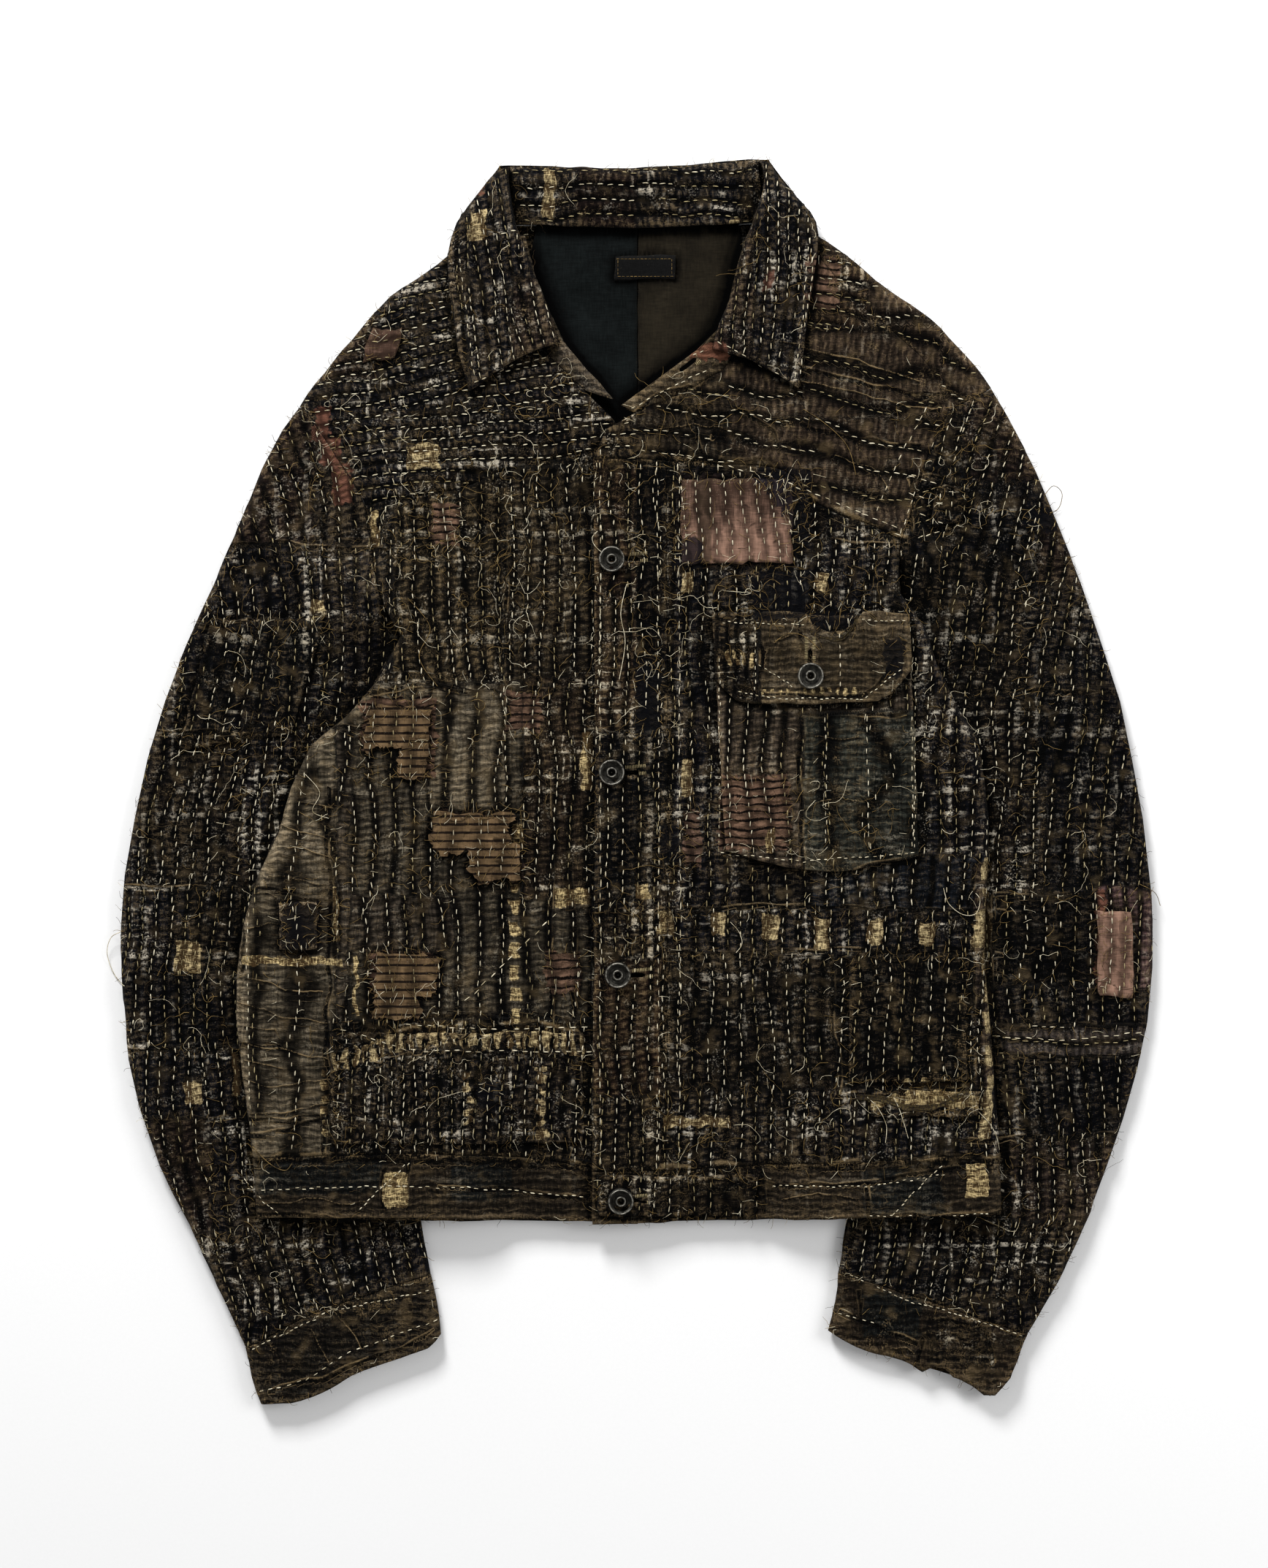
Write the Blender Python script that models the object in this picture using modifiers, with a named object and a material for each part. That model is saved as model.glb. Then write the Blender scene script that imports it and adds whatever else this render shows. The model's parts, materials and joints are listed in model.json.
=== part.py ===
"""A patched boro work jacket, buttoned and laid flat on its back.

+X is towards the wearer's left arm, +Y towards the collar and +Z up from the table.
The tables below are in millimetres, and MM turns them into Blender's metres.
"""
import math

import bmesh
import bpy
import numpy as np
from mathutils.bvhtree import BVHTree

MM = 0.001

# Cloth: several layers of old cotton, quilted together
WALL = 3.0
AIR = 3.4
GAP = 0.3
STACK = 2 * WALL + AIR
QUILT = 0.9
LINING_WALL = 1.2
PATCH_WALL = 1.0
PATCH_CELL = (16.0, 20.0)
POCKET_WALL = 2.0
LABEL_WALL = 0.8

# Folded edges, seen from above: a quarter turn this wide, in three steps of 30 degrees
FOLD = 5.0
FOLD_STEPS = (0.0, 0.134, 0.5, 1.0)

# The body lies over the inner part of each sleeve
RISE = STACK + 0.6
RISE_MARGIN = 30.0
RISE_RAMP = 36.0
HEM_Y = -287.0
# A sleeve's two pieces stand back from their shared outline by these amounts
SLEEVE_INSET = 0.3
UNDER_INSET = 0.4
BARE_BELOW_HEM = 0.6
BARE_START = 11.0
BARE_END = 26.0

# The left front laps over the right front
LAP = WALL + 1.1
LAP_EDGE = 1.0
LAP_RAMP = 22.0

# How far plain faces may stray from the full form, and how many rows they may leave out at a time
PLAIN_FACE = 1.6
PLAIN_UNDER = 0.45
PLAIN_CLOSE = 0.6
PLAIN_BEND = 1.3
PLAIN_START = 2.0
PLAIN_SKIP = 8

# Soft swells over the whole top, from air between the layers
SWELL = 1.6
SWELL_X = 41.0
SWELL_Y = 53.0
SWELL_PHASE = (0.8, 2.1)
# A fold starts and ends this share of a half wave in, so it never thins to nothing
FOLD_ENDS = 0.12
# Ridges between stitch rows vary by this share, with waves of this many radians a column and a row
UNEVEN = 0.2
UNEVEN_WAVE = (7.1, 11.3)
# A point that a folded edge has turned less than this still carries quilting
UNTURNED = 0.999
# The left front covers the right one from the first to the second x
COVERED = (-46, -34)
# The armhole seam's own lift fades between these distances from it
ARMHOLE_FADE = (2, 34)

# Collar
NECK_LINE = [(-83, 368), (0, 365), (83, 369)]
ROLL_LINE = [(-84, 406), (0, 405), (79, 410)]
CROWN_LINE = [(-92, 404), (-84, 408), (0, 406), (80, 412), (88, 407)]
BEHIND_RIGHT = [(-125, 348), (-119, 369), (-104, 390), (-92, 404)]
BEHIND_LEFT = [(119, 360), (114, 376), (100, 391), (88, 407)]
BEHIND_REACH = (-125.5, 119.5)
BEHIND_TURN = [0.3, 1, 1, 1, 1, 1]
BEHIND_INSET = 1.0
LEAF_TIP = 4.0
LEAF_ROLL = 4.8
BAND_RISE = (368, 400)
COLLAR_MID = 7.0
BAND_LOW = 9.6
BAND_HIGH = 14.0

# How finely a cell of a laid piece is tested against what lies below, and how often
LAY_STEPS = 13
LAY_ROUNDS = 12
LAY_EASE = 0.25
LAY_NEAR = 0.2
LAY_DONE = 0.01
LAY_STRAY = 0.02
# Rays that look for the cloth below start this high, above the whole jacket
ABOVE_ALL = 200.0
# Quilting of a piece that is sewn on, as a share of the panels' own
APPLIED_QUILT = 0.6

# The neck lining: its two halves, the seam between them and its two soft creases
LINING_SEAM = [236, 300, 363]
LINING_SEAM_HALF = 0.2
LINING_RIGHT = [(-12, 228), (-46, 262), (-70, 300), (-75, 330), (-66, 356)]
LINING_LEFT = [(12, 236), (46, 258), (68, 300), (73, 330), (66, 357)]
LINING_CREASES = [(-64, 322, -42, 334, -20, 346, 1.6, 6.0), (20, 350, 30, 318, 18, 286, 1.2, 8.0)]
LABEL_BOX = [(-15, 331), (25, 332), (25, 348), (-15, 347)]
LABEL_LIFT = 0.4

# Buttons
BUTTON_RADIUS = 8.5
BUTTON_HEIGHT = 3.4
SHANK_RADIUS = 1.0
SLOT_WIDTH = 3.0
SLOT_START = 0.15
CUTTER_REACH = 20
# The donut's half section, as shares of its radius and height, from the middle out and back to the post
BUTTON_SECTION = [(0, 0.5), (0.3, 0.3), (0.42, 0.8), (0.68, 1), (1, 0.6), (0.85, 0)]
BUTTON_SIDES = 12
BUTTON_WELD = 0.00001
# Where the shank looks for the cloth below, beside its own middle
SHANK_PROBE = (-2, 0, 2)

# Seam and edge lines as (x, y), a row each; counts are the pieces that a line is cut into
# name: (points, count, folded end)
SEAMS = {
    "right_shoulder": (
        [(-223, 248), (-208, 269), (-166, 318), (-138, 337), (-125, 348), (-105, 362), (-83, 368)], 20, ""),
    "right_armhole_yoke": ([(-223, 248), (-216, 242), (-197, 213), (-186, 196), (-179, 183)], 10, "start"),
    "right_armhole_front": ([(-179, 183), (-176, 159), (-169, 123), (-156, 96)], 6, ""),
    "right_armhole_under": ([(-156, 96), (-143, 75), (-131, 59)], 6, "end"),
    "right_neck": (
        [(-83, 368), (-91, 354), (-91, 335), (-81, 308), (-61, 284), (-35, 258), (-13, 236), (0, 221)], 10, "start"),
    "right_yoke_seam": (
        [(-179, 183), (-160, 186), (-117, 194), (-85, 206), (-35, 217), (0, 221)], 20, "start"),
    "right_front_edge": ([(0, 221), (0, -255)], 18, ""),
    "right_side": (
        [(-156, 96), (-178, 56), (-207, 33), (-224, 10), (-233, -25), (-253, -71), (-262, -114), (-264, -157),
         (-257, -206), (-253, -246)], 12, ""),
    "right_waist_end": ([(-253, -246), (-250, -285)], 4, ""),
    "right_waist_front": ([(0, -255), (0, -290)], 4, ""),
    "right_waist_seam": ([(-253, -246), (-150, -243), (-75, -246), (-33, -253), (0, -255)], 20, "start"),
    "right_hem": ([(-250, -285), (-141, -285), (-64, -287), (0, -290)], 20, "start"),
    "left_shoulder_seam": (
        [(83, 369), (104, 360), (117, 349), (143, 318), (169, 296), (191, 275), (205, 245)], 22, ""),
    "left_shoulder_fold": (
        [(83, 369), (102, 368), (119, 360), (139, 347), (163, 327), (191, 308), (210, 289), (226, 270), (233, 260)],
        22, ""),
    "left_armhole_top": ([(233, 260), (205, 245)], 4, "start"),
    "left_armhole_yoke": ([(205, 245), (187, 205), (181, 183), (173, 159)], 10, ""),
    "left_armhole_front": ([(173, 159), (171, 141), (173, 124)], 4, ""),
    "left_armhole_under": ([(173, 124), (162, 92), (147, 63)], 5, "end"),
    "left_neck": (
        [(83, 369), (90, 356), (89, 335), (80, 308), (66, 284), (50, 267), (25, 255), (-4, 242), (-23, 230),
         (-29, 213)], 10, ""),
    "left_yoke_seam_placket": ([(-29, 213), (19, 212)], 4, ""),
    "left_yoke_seam": ([(19, 212), (67, 209), (98, 205), (119, 183), (152, 169), (173, 159)], 18, "end"),
    "placket_edge": ([(-29, 213), (-28, -13), (-30, -255)], 18, ""),
    "placket_seam": ([(19, 212), (20, -13), (19, -255)], 18, ""),
    "left_side": (
        [(173, 124), (186, 112), (192, 90), (208, 54), (223, 29), (228, 3), (231, -33), (229, -76), (228, -108),
         (231, -157), (235, -201), (238, -244)], 14, ""),
    "left_waist_end": ([(238, -244), (239, -283)], 4, ""),
    "left_waist_front": ([(-30, -255), (-30, -290)], 4, ""),
    "left_waist_seam_placket": ([(-30, -255), (19, -255)], 4, ""),
    "left_waist_seam": ([(19, -255), (99, -250), (172, -247), (205, -244), (238, -244)], 18, "end"),
    "left_hem": ([(-30, -290), (32, -288), (109, -285), (181, -284), (239, -283)], 22, "end"),
    "right_cuff_seam": ([(-258, -372), (-213, -349), (-136, -323)], 22, "both"),
    "right_cuff_hem": (
        [(-248, -409), (-217, -405), (-179, -386), (-141, -373), (-129, -363)], 22, "both"),
    "right_cuff_outer": ([(-258, -372), (-254, -393), (-248, -409)], 4, ""),
    "right_cuff_inner": ([(-136, -323), (-132, -342), (-129, -363)], 4, ""),
    "left_cuff_seam": ([(132, -322), (192, -341), (257, -363)], 23, "both"),
    "left_cuff_hem": (
        [(125, -361), (147, -372), (177, -381), (187, -387), (193, -384), (202, -385), (207, -391), (217, -394),
         (231, -404), (243, -394), (247, -386)], 23, "both"),
    "left_cuff_hem_under": ([(125, -361), (167, -377), (205, -390), (232, -401), (247, -386)], 23, "both"),
    "left_cuff_outer": ([(257, -363), (252, -377), (247, -386)], 4, ""),
    "left_cuff_inner": ([(132, -322), (130, -342), (125, -361)], 4, ""),
}

# Cross-sections along each sleeve: its outer edge and its inner edge, which the body hides
# columns: outer x, outer y, inner x, inner y
RIGHT_SLEEVE = [
    (-223, 248, -131, 59),
    (-241, 222, -132, 47),
    (-263, 169, -135, 30),
    (-289, 111, -138, 6),
    (-312, 54, -142, -23),
    (-328, -4, -146, -52),
    (-338, -61, -149, -85),
    (-341, -109, -152, -119),
    (-338, -157, -153, -157),
    (-333, -196, -153, -191),
    (-315, -253, -150, -234),
    (-286, -311, -144, -282),
    (-258, -372, -136, -323),
]
LEFT_SLEEVE = [
    (233, 260, 147, 63),
    (255, 222, 146, 49),
    (278, 169, 144, 30),
    (300, 111, 143, 6),
    (318, 54, 142, -23),
    (330, -4, 142, -52),
    (338, -61, 143, -85),
    (340, -105, 144, -119),
    (336, -157, 145, -157),
    (325, -205, 144, -196),
    (309, -253, 142, -239),
    (287, -311, 139, -287),
    (257, -363, 132, -322),
]
SLEEVE_ROWS = 18

# Cross-sections round the collar, from the corner behind the neck to the front tip
# columns: roll x, roll y, roll height, leaf edge x, leaf edge y, 1 where that edge folds to the back
RIGHT_LEAF = [
    (-84, 408, 21, -92, 404, 1),
    (-84, 396, 23, -104, 390, 1),
    (-82, 380, 25, -119, 369, 1),
    (-79, 365, 25, -125, 346, 0),
    (-72, 347, 24, -124, 325, 0),
    (-64, 325, 22, -121, 303, 0),
    (-56, 305, 20, -117, 280, 0),
    (-52, 289, 18, -111, 257, 0),
]
LEFT_LEAF = [
    (80, 412, 21, 88, 407, 1),
    (83, 396, 23, 100, 391, 1),
    (79, 378, 25, 114, 376, 1),
    (73, 363, 25, 119, 359, 0),
    (68, 347, 24, 116, 332, 0),
    (63, 323, 22, 112, 308, 0),
    (54, 303, 20, 109, 284, 0),
    (49, 285, 18, 106, 259, 0),
]
LEAF_ROWS = 14
LEAF_COLUMNS = 12

# The stand's free edge, from the front end up to where the leaf's roll covers it
# columns: x, y, height
RIGHT_STAND = [(-16, 252, 12.5), (-33, 270, 13.5), (-50, 291, 13.0), (-57, 305, 14.6), (-64, 323, 16.6),
               (-71, 342, 18.8), (-76, 358, 19.6)]
LEFT_STAND = [(-11, 248, 15.4), (12, 264, 15.6), (33, 280, 14.8), (49, 291, 14.0), (56, 305, 15.2), (63, 323, 16.8),
              (67, 341, 18.8), (72, 357, 19.6)]

# The largest folds: three points of a ridge, its height and its half-width
# columns: x0, y0, x1, y1, x2, y2, height, width
FOLDS = [
    (-162, 239, -157, 169, -151, 112, 5.0, 9.0),
    (-79, 224, -118, 165, -148, 112, 3.0, 8.0),
    (83, 232, 108, 198, 152, 162, 2.5, 9.0),
    (182, 205, 219, 178, 262, 150, 3.5, 9.0),
    (178, 150, 222, 135, 280, 97, 4.0, 9.0),
    (205, 92, 242, 80, 296, 44, 5.0, 9.0),
    (232, 22, 266, 6, 308, -30, 4.5, 9.0),
    (240, -98, 282, -88, 326, -96, 4.0, 8.0),
    (244, -196, 280, -212, 312, -204, 3.5, 9.0),
    (205, -312, 226, -330, 250, -336, 3.0, 9.0),
    (-182, 118, -222, 78, -262, 28, 4.5, 9.0),
    (-214, 150, -246, 118, -272, 72, 3.5, 9.0),
    (-250, 16, -286, -10, -318, -46, 4.0, 9.0),
    (-270, -130, -300, -104, -330, -82, 4.0, 8.0),
    (-268, -205, -296, -216, -322, -204, 3.5, 9.0),
    (-176, -306, -206, -322, -240, -330, 3.0, 9.0),
    (-212, -40, -224, -110, -222, -200, 2.5, 9.0),
    (-64, 30, -68, -70, -62, -200, 2.0, 10.0),
    (-120, 20, -126, -60, -118, -170, 2.0, 10.0),
    (196, -90, 204, -160, 206, -234, 2.5, 9.0),
    (66, -120, 72, -180, 70, -236, 2.0, 9.0),
]

# Outlines that lie on a panel, corner by corner from lower left, anticlockwise
POCKET = {
    "bottom": [(58, -44), (84, -52), (109, -57), (138, -57), (162, -52), (184, -48)],
    "top": [(50, 110), (176, 110)],
    "left": [(58, -44), (53, 35), (50, 110)],
    "right": [(184, -48), (181, 35), (176, 110)],
}
FLAP = {
    "bottom": [(51, 68), (60, 58), (69, 53), (113, 52), (156, 54), (166, 59), (179, 74)],
    "top": [(49, 112), (108, 112), (114, 104), (128, 98), (141, 103), (146, 112), (178, 111)],
    "left": [(51, 68), (49, 112)],
    "right": [(179, 74), (178, 111)],
}
# name: (x low, y low, x high, y high, lean of its upper edge, panel below, fabric)
PATCHES = {
    "patch_rose": (29, 145, 102, 199, 0, "left_front", "rose"),
    "patch_brown": (137, -196, 214, -112, 3, "left_front", "brown_black"),
    "patch_ochre_strip": (152, -218, 222, -202, 2, "left_front", "ochre"),
    "patch_striped_high": (-180, 2, -138, 50, 3, "right_front", "striped_brown"),
    "patch_striped_mid": (-146, -66, -76, -20, -4, "right_front", "striped_brown"),
    "patch_striped_low": (-174, -155, -134, -112, 4, "right_front", "striped_brown"),
    "patch_small_dark": (-234, -108, -209, -78, 0, "right_front", "brown_black"),
    "patch_plaid": (-200, -236, -36, -164, 0, "right_front", "indigo"),
    "patch_black": (192, 168, 212, 196, 6, "left_sleeve_upper", "label_black"),
    "patch_pink_sleeve": (304, -140, 326, -84, -2, "left_sleeve_upper", "rose"),
    "patch_dark_sleeve": (-302, 22, -228, 108, 22, "right_sleeve_upper", "brown_black"),
    "patch_rust": (-180, 276, -160, 298, 6, "right_front_yoke", "rose"),
    "patch_waist": (-26, -284, 78, -258, 0, "left_waistband", "brown_black"),
}

# Buttons and their slots
# name: (x, y, panel that the shank passes, panel below, slot from, slot to, lean in degrees)
BUTTONS = {
    "button_1": (-17, 147, "placket", "right_front", (-18, 147), (1, 147), 0),
    "button_2": (-17, 7, "placket", "right_front", (-18, 7), (1, 7), 0),
    "button_3": (-13, -126, "placket", "right_front", (-14, -126), (5, -126), 0),
    "button_4": (-11, -274, "left_waistband", "right_waistband", (-12, -274), (7, -274), 3),
    "flap_button": (113, 70, "pocket_flap", "chest_pocket", (113, 69), (113, 88), 0),
}
STAND_SLOT = ((28, 271), (39, 279))

# Colour (linear), roughness and metallic value
FINISHES = {
    "indigo": ((0.030, 0.034, 0.042), 0.92, 0.0),
    "brown_black": ((0.040, 0.033, 0.028), 0.92, 0.0),
    "olive": ((0.105, 0.090, 0.062), 0.9, 0.0),
    "grey_olive": ((0.075, 0.070, 0.058), 0.9, 0.0),
    "rose": ((0.230, 0.150, 0.130), 0.9, 0.0),
    "striped_brown": ((0.170, 0.110, 0.075), 0.9, 0.0),
    "ochre": ((0.260, 0.200, 0.120), 0.9, 0.0),
    "lining_dark": ((0.016, 0.019, 0.020), 0.8, 0.0),
    "lining_brown": ((0.038, 0.032, 0.025), 0.8, 0.0),
    "label_black": ((0.012, 0.012, 0.012), 0.6, 0.0),
    "worn_metal": ((0.180, 0.175, 0.165), 0.42, 0.9),
}

# Curves


def smooth_line(points, steps=24):
    """A dense curve through a few points (a Catmull-Rom spline)."""
    points = np.array(points, float)
    padded = np.vstack([2 * points[0] - points[1], points, 2 * points[-1] - points[-2]])
    t = np.linspace(0, 1, steps, endpoint=False)[:, None]
    pieces = []
    for a, b, c, d in zip(padded, padded[1:], padded[2:], padded[3:]):
        cubic = (3 * b - a - 3 * c + d) * t ** 3
        square = (2 * a - 5 * b + 4 * c - d) * t ** 2
        pieces.append(0.5 * (2 * b + (c - a) * t + square + cubic))
    return np.vstack(pieces + [points[-1:]])


def lengths_along(line):
    steps = np.linalg.norm(np.diff(line[:, :2], axis=0), axis=1)
    return np.concatenate([[0], np.cumsum(steps)])


def at_lengths(line, places):
    """Points of a dense line at these distances along it."""
    along = lengths_along(line)
    return np.column_stack([np.interp(places, along, line[:, k]) for k in range(line.shape[1])])


def spread(length, count, folded):
    """Distances of count + 1 points along a seam, close together round a folded end."""
    near = [FOLD * step for step in FOLD_STEPS]
    start = near if folded in ("start", "both") else [0.0]
    end = [length - place for place in reversed(near)] if folded in ("end", "both") else [length]
    middle = count - (len(start) - 1) - (len(end) - 1)
    return np.array(start + list(np.linspace(start[-1], end[0], middle + 1)[1:-1]) + end)


def seam(name, count=None, folded=None):
    points, own_count, own_folded = SEAMS[name]
    line = smooth_line(points)
    count = own_count if count is None else count
    folded = own_folded if folded is None else folded
    return at_lengths(line, spread(lengths_along(line)[-1], count, folded))


def back(line):
    return line[::-1]


def join(*lines):
    """One line from several that meet end to end."""
    return np.vstack([lines[0]] + [line[1:] for line in lines[1:]])


def freehand(points, count, folded=""):
    line = smooth_line(points)
    return at_lengths(line, spread(lengths_along(line)[-1], count, folded))


def sections(table, rows):
    """The two edges of a piece that is given by cross-sections, rows + 1 points each."""
    line = smooth_line(table)
    places = np.linspace(0, len(line) - 1, rows + 1)
    index = np.arange(len(line))
    return np.column_stack([np.interp(places, index, line[:, k]) for k in range(line.shape[1])])


# Heights


def smooth_step(low, high, value):
    t = np.clip((value - low) / (high - low), 0, 1)
    return t * t * (3 - 2 * t)


def hidden_edge(table, under):
    """The inner edge of a sleeve as rising (y, x) columns."""
    inner = [(row[3], row[2]) for row in reversed(table)]
    arm = [(y, x) for x, y in reversed(SEAMS[under][0])][1:]
    return np.array(inner + arm)


RIGHT_HIDDEN = hidden_edge(RIGHT_SLEEVE, "right_armhole_under")
LEFT_HIDDEN = hidden_edge(LEFT_SLEEVE, "left_armhole_under")
RIGHT_SIDE = np.array([(y, x) for x, y in reversed(SEAMS["right_side"][0])])
LEFT_SIDE = np.array([(y, x) for x, y in reversed(SEAMS["left_side"][0])])


def outside(x, y, edge, side):
    """Distance from the strip beyond an edge line: side is -1 for the wearer's right and 1 for the left."""
    beside = np.maximum(0, side * (np.interp(y, edge[:, 0], edge[:, 1]) - x))
    above = np.maximum(0, y - edge[-1, 0])
    return np.hypot(beside, above)


def lift(x, y):
    """1 where the body lies on a sleeve, falling to 0 where it lies on the table."""
    distance = np.minimum(outside(x, y, RIGHT_HIDDEN, -1), outside(x, y, LEFT_HIDDEN, 1))
    return 1 - smooth_step(RISE_MARGIN, RISE_MARGIN + RISE_RAMP, distance)


def bare(x, y):
    """0 on a sleeve under the body, 1 where the sleeve shows."""
    below = BARE_BELOW_HEM * np.maximum(0, HEM_Y - y)
    right = np.hypot(outside(x, y, RIGHT_SIDE, 1), below)
    left = np.hypot(outside(x, y, LEFT_SIDE, -1), below)
    return smooth_step(BARE_START, BARE_END, np.where(x < 0, right, left))


def ridge(x, y, row):
    """Height of one fold at each place: round across, and tapered to its ends."""
    x0, y0, x1, y1, x2, y2, height, width = row
    line = smooth_line([(x0, y0), (x1, y1), (x2, y2)], 8)
    far = np.full(np.shape(x), 1e9)
    share = np.zeros(np.shape(x))
    for k, (px, py) in enumerate(line):
        distance = np.hypot(x - px, y - py)
        closer = distance < far
        far = np.where(closer, distance, far)
        share = np.where(closer, k / (len(line) - 1), share)
    taper = np.sin(math.pi * (FOLD_ENDS + (1 - 2 * FOLD_ENDS) * share))
    return height * taper * np.exp(-(far / width) ** 2)


def soft_form(x, y):
    """Swells and folds that the upper layer has."""
    wave = np.sin(x / SWELL_X + SWELL_PHASE[0]) * np.sin(y / SWELL_Y + SWELL_PHASE[1])
    swell = SWELL * (0.5 + 0.5 * wave)
    return swell + sum(ridge(x, y, row) for row in FOLDS)


def right_level(x, y):
    return STACK + RISE * lift(x, y) + soft_form(x, y)


def left_level(x, y):
    lap = 1 - smooth_step(LAP_EDGE, LAP_EDGE + LAP_RAMP, x)
    return right_level(x, y) + LAP * lap


def back_level(x, y):
    return RISE * lift(x, y)


ARMHOLES = np.vstack([smooth_line(SEAMS[side + "_armhole_front"][0]) for side in ("right", "left")])


def beside_armhole(x, y):
    """1 along the front armhole seams, 0 away from them."""
    distance = np.hypot(x[..., None] - ARMHOLES[:, 0], y[..., None] - ARMHOLES[:, 1]).min(axis=-1)
    return 1 - smooth_step(*ARMHOLE_FADE, distance)


def sleeve_level(x, y):
    joined = RISE * lift(x, y) * beside_armhole(x, y)
    return STACK + bare(x, y) * (soft_form(x, y) + joined)


def table_level(x, y):
    return np.zeros(np.shape(x))


def body_middle(x, y):
    return RISE * lift(x, y) + STACK / 2


def sleeve_middle(x, y):
    return np.full(np.shape(x), STACK / 2)


# Sheets of cloth


def inset(bottom, right, top, left, amount):
    """Moves an outline in by this much, and gives the four edges back."""
    ring = np.vstack([bottom[:-1], right[:-1], back(top)[:-1], back(left)[:-1]])
    ahead = np.roll(ring, -1, axis=0) - ring
    ahead /= np.linalg.norm(ahead, axis=1)[:, None]
    normal = np.column_stack([-ahead[:, 1], ahead[:, 0]])
    before = np.roll(normal, 1, axis=0)
    mitre = (normal + before) / (1 + np.sum(normal * before, axis=1))[:, None]
    ring = ring + amount * mitre
    ring = np.vstack([ring, ring[:1]])
    a = len(bottom) - 1
    b = a + len(right) - 1
    c = b + len(top) - 1
    return ring[:a + 1], ring[a:b + 1], back(ring[b:c + 1]), back(ring[c:])


def shares(line):
    along = lengths_along(line)
    return along / along[-1]


def patch_grid(bottom, right, top, left):
    """Points inside four edges (a Coons patch), one row of points for each point of the sides."""
    u_low, u_high = shares(bottom), shares(top)
    v_left, v_right = shares(left), shares(right)
    u = u_low[None, :] + (u_high - u_low)[None, :] * 0.5 * (v_left + v_right)[:, None]
    v = v_left[:, None] + (v_right - v_left)[:, None] * u
    u = u_low[None, :] + (u_high - u_low)[None, :] * v
    u, v = u[..., None], v[..., None]
    along = (1 - v) * bottom[None] + v * top[None] + (1 - u) * left[:, None] + u * right[:, None]
    corners = (1 - v) * ((1 - u) * bottom[0] + u * bottom[-1]) + v * ((1 - u) * top[0] + u * top[-1])
    return along - corners


def slope_normals(plan, level):
    """Unit normals of a height function."""
    step = 0.5
    x, y = plan[..., 0], plan[..., 1]
    dx = (level(x + step, y) - level(x - step, y)) / (2 * step)
    dy = (level(x, y + step) - level(x, y - step)) / (2 * step)
    normals = np.stack([-dx, -dy, np.ones_like(dx)], axis=-1)
    return normals / np.linalg.norm(normals, axis=-1, keepdims=True)


def to_edge(plan, side):
    """Distance of each point from one side along its grid line, and the way towards it."""
    turned = {"left": plan, "right": plan[:, ::-1], "bottom": plan.swapaxes(0, 1),
              "top": plan[::-1].swapaxes(0, 1)}[side]
    steps = np.linalg.norm(np.diff(turned, axis=1), axis=2)
    distance = np.concatenate([np.zeros((len(turned), 1)), np.cumsum(steps, axis=1)], axis=1)
    way = turned[:, :1] - turned[:, 1:2]
    way = np.broadcast_to(way / np.linalg.norm(way, axis=2, keepdims=True), turned.shape)
    if side == "right":
        return distance[:, ::-1], way[:, ::-1]
    if side == "bottom":
        return distance.T, way.swapaxes(0, 1)
    if side == "top":
        return distance.T[::-1], way.swapaxes(0, 1)[::-1]
    return distance, way


def turn_edges(plan, height, normals, middle, folds):
    """Bends the sides named in folds towards the middle level, in a quarter turn."""
    reach = np.abs(height - middle)
    stay = np.ones_like(height)
    upright = np.ones_like(height)
    sideways = np.zeros(plan.shape[:2] + (3,))
    for side, weight in folds.items():
        distance, way = to_edge(plan, side)
        weight = np.asarray(weight, float)
        if weight.ndim:
            weight = weight[:, None] if side in ("left", "right") else weight[None, :]
        sine = 1 - np.minimum(distance, FOLD) / FOLD
        cosine = np.sqrt(1 - sine ** 2)
        tilt = weight * np.arctan2(sine / FOLD, cosine / reach)
        stay = stay * (1 - weight * (1 - cosine))
        upright = upright * np.cos(tilt)
        sideways[..., :2] += np.sin(tilt)[..., None] * way
    turned = upright[..., None] * normals + sideways
    turned /= np.linalg.norm(turned, axis=-1, keepdims=True)
    return middle + (height - middle) * stay, turned, stay


def quilting(shape, way):
    """Ridges between stitch rows, as 0 to 1 for each grid point: way is columns, rows or none."""
    row, column = np.indices(shape)
    uneven = 1 - UNEVEN + UNEVEN * np.sin(UNEVEN_WAVE[0] * column + UNEVEN_WAVE[1] * row)
    odd = {"columns": column % 2, "rows": row % 2, "none": 0 * row}[way]
    raised = odd * uneven
    raised[0], raised[-1], raised[:, 0], raised[:, -1] = 0, 0, 0, 0
    return raised


def is_straight(points, start, end, stray):
    """Whether the rows between two rows lie close enough to straight lines, in height and seen from above."""
    near, far = points[start], points[end]
    chord = far - near
    length = np.maximum(np.sum(chord[:, :2] ** 2, axis=1), 1e-9)
    for mid in points[start + 1:end]:
        share = np.sum((mid - near)[:, :2] * chord[:, :2], axis=1) / length
        off = mid - near - share[:, None] * chord
        if np.abs(off[:, 2]).max() > stray or np.linalg.norm(off[:, :2], axis=1).max() > PLAIN_BEND:
            return False
    return True


def kept_lines(grid, stray):
    """Which inner rows of a grid a plain face needs."""
    steps = np.linalg.norm(np.diff(grid[..., :2], axis=0), axis=2).min(axis=1)
    from_start, from_end = np.cumsum(steps), np.cumsum(steps[::-1])
    first = 1 + int(np.argmax(from_start > PLAIN_START))
    last = len(grid) - 2 - int(np.argmax(from_end > PLAIN_START))
    kept = [first]
    while kept[-1] < last:
        end = kept[-1] + 1
        while end < last and end - kept[-1] < PLAIN_SKIP and is_straight(grid, kept[-1], end + 1, stray):
            end += 1
        kept.append(end)
    return kept


SPLIT_WAY = np.array((1.0, 1.7))


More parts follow.
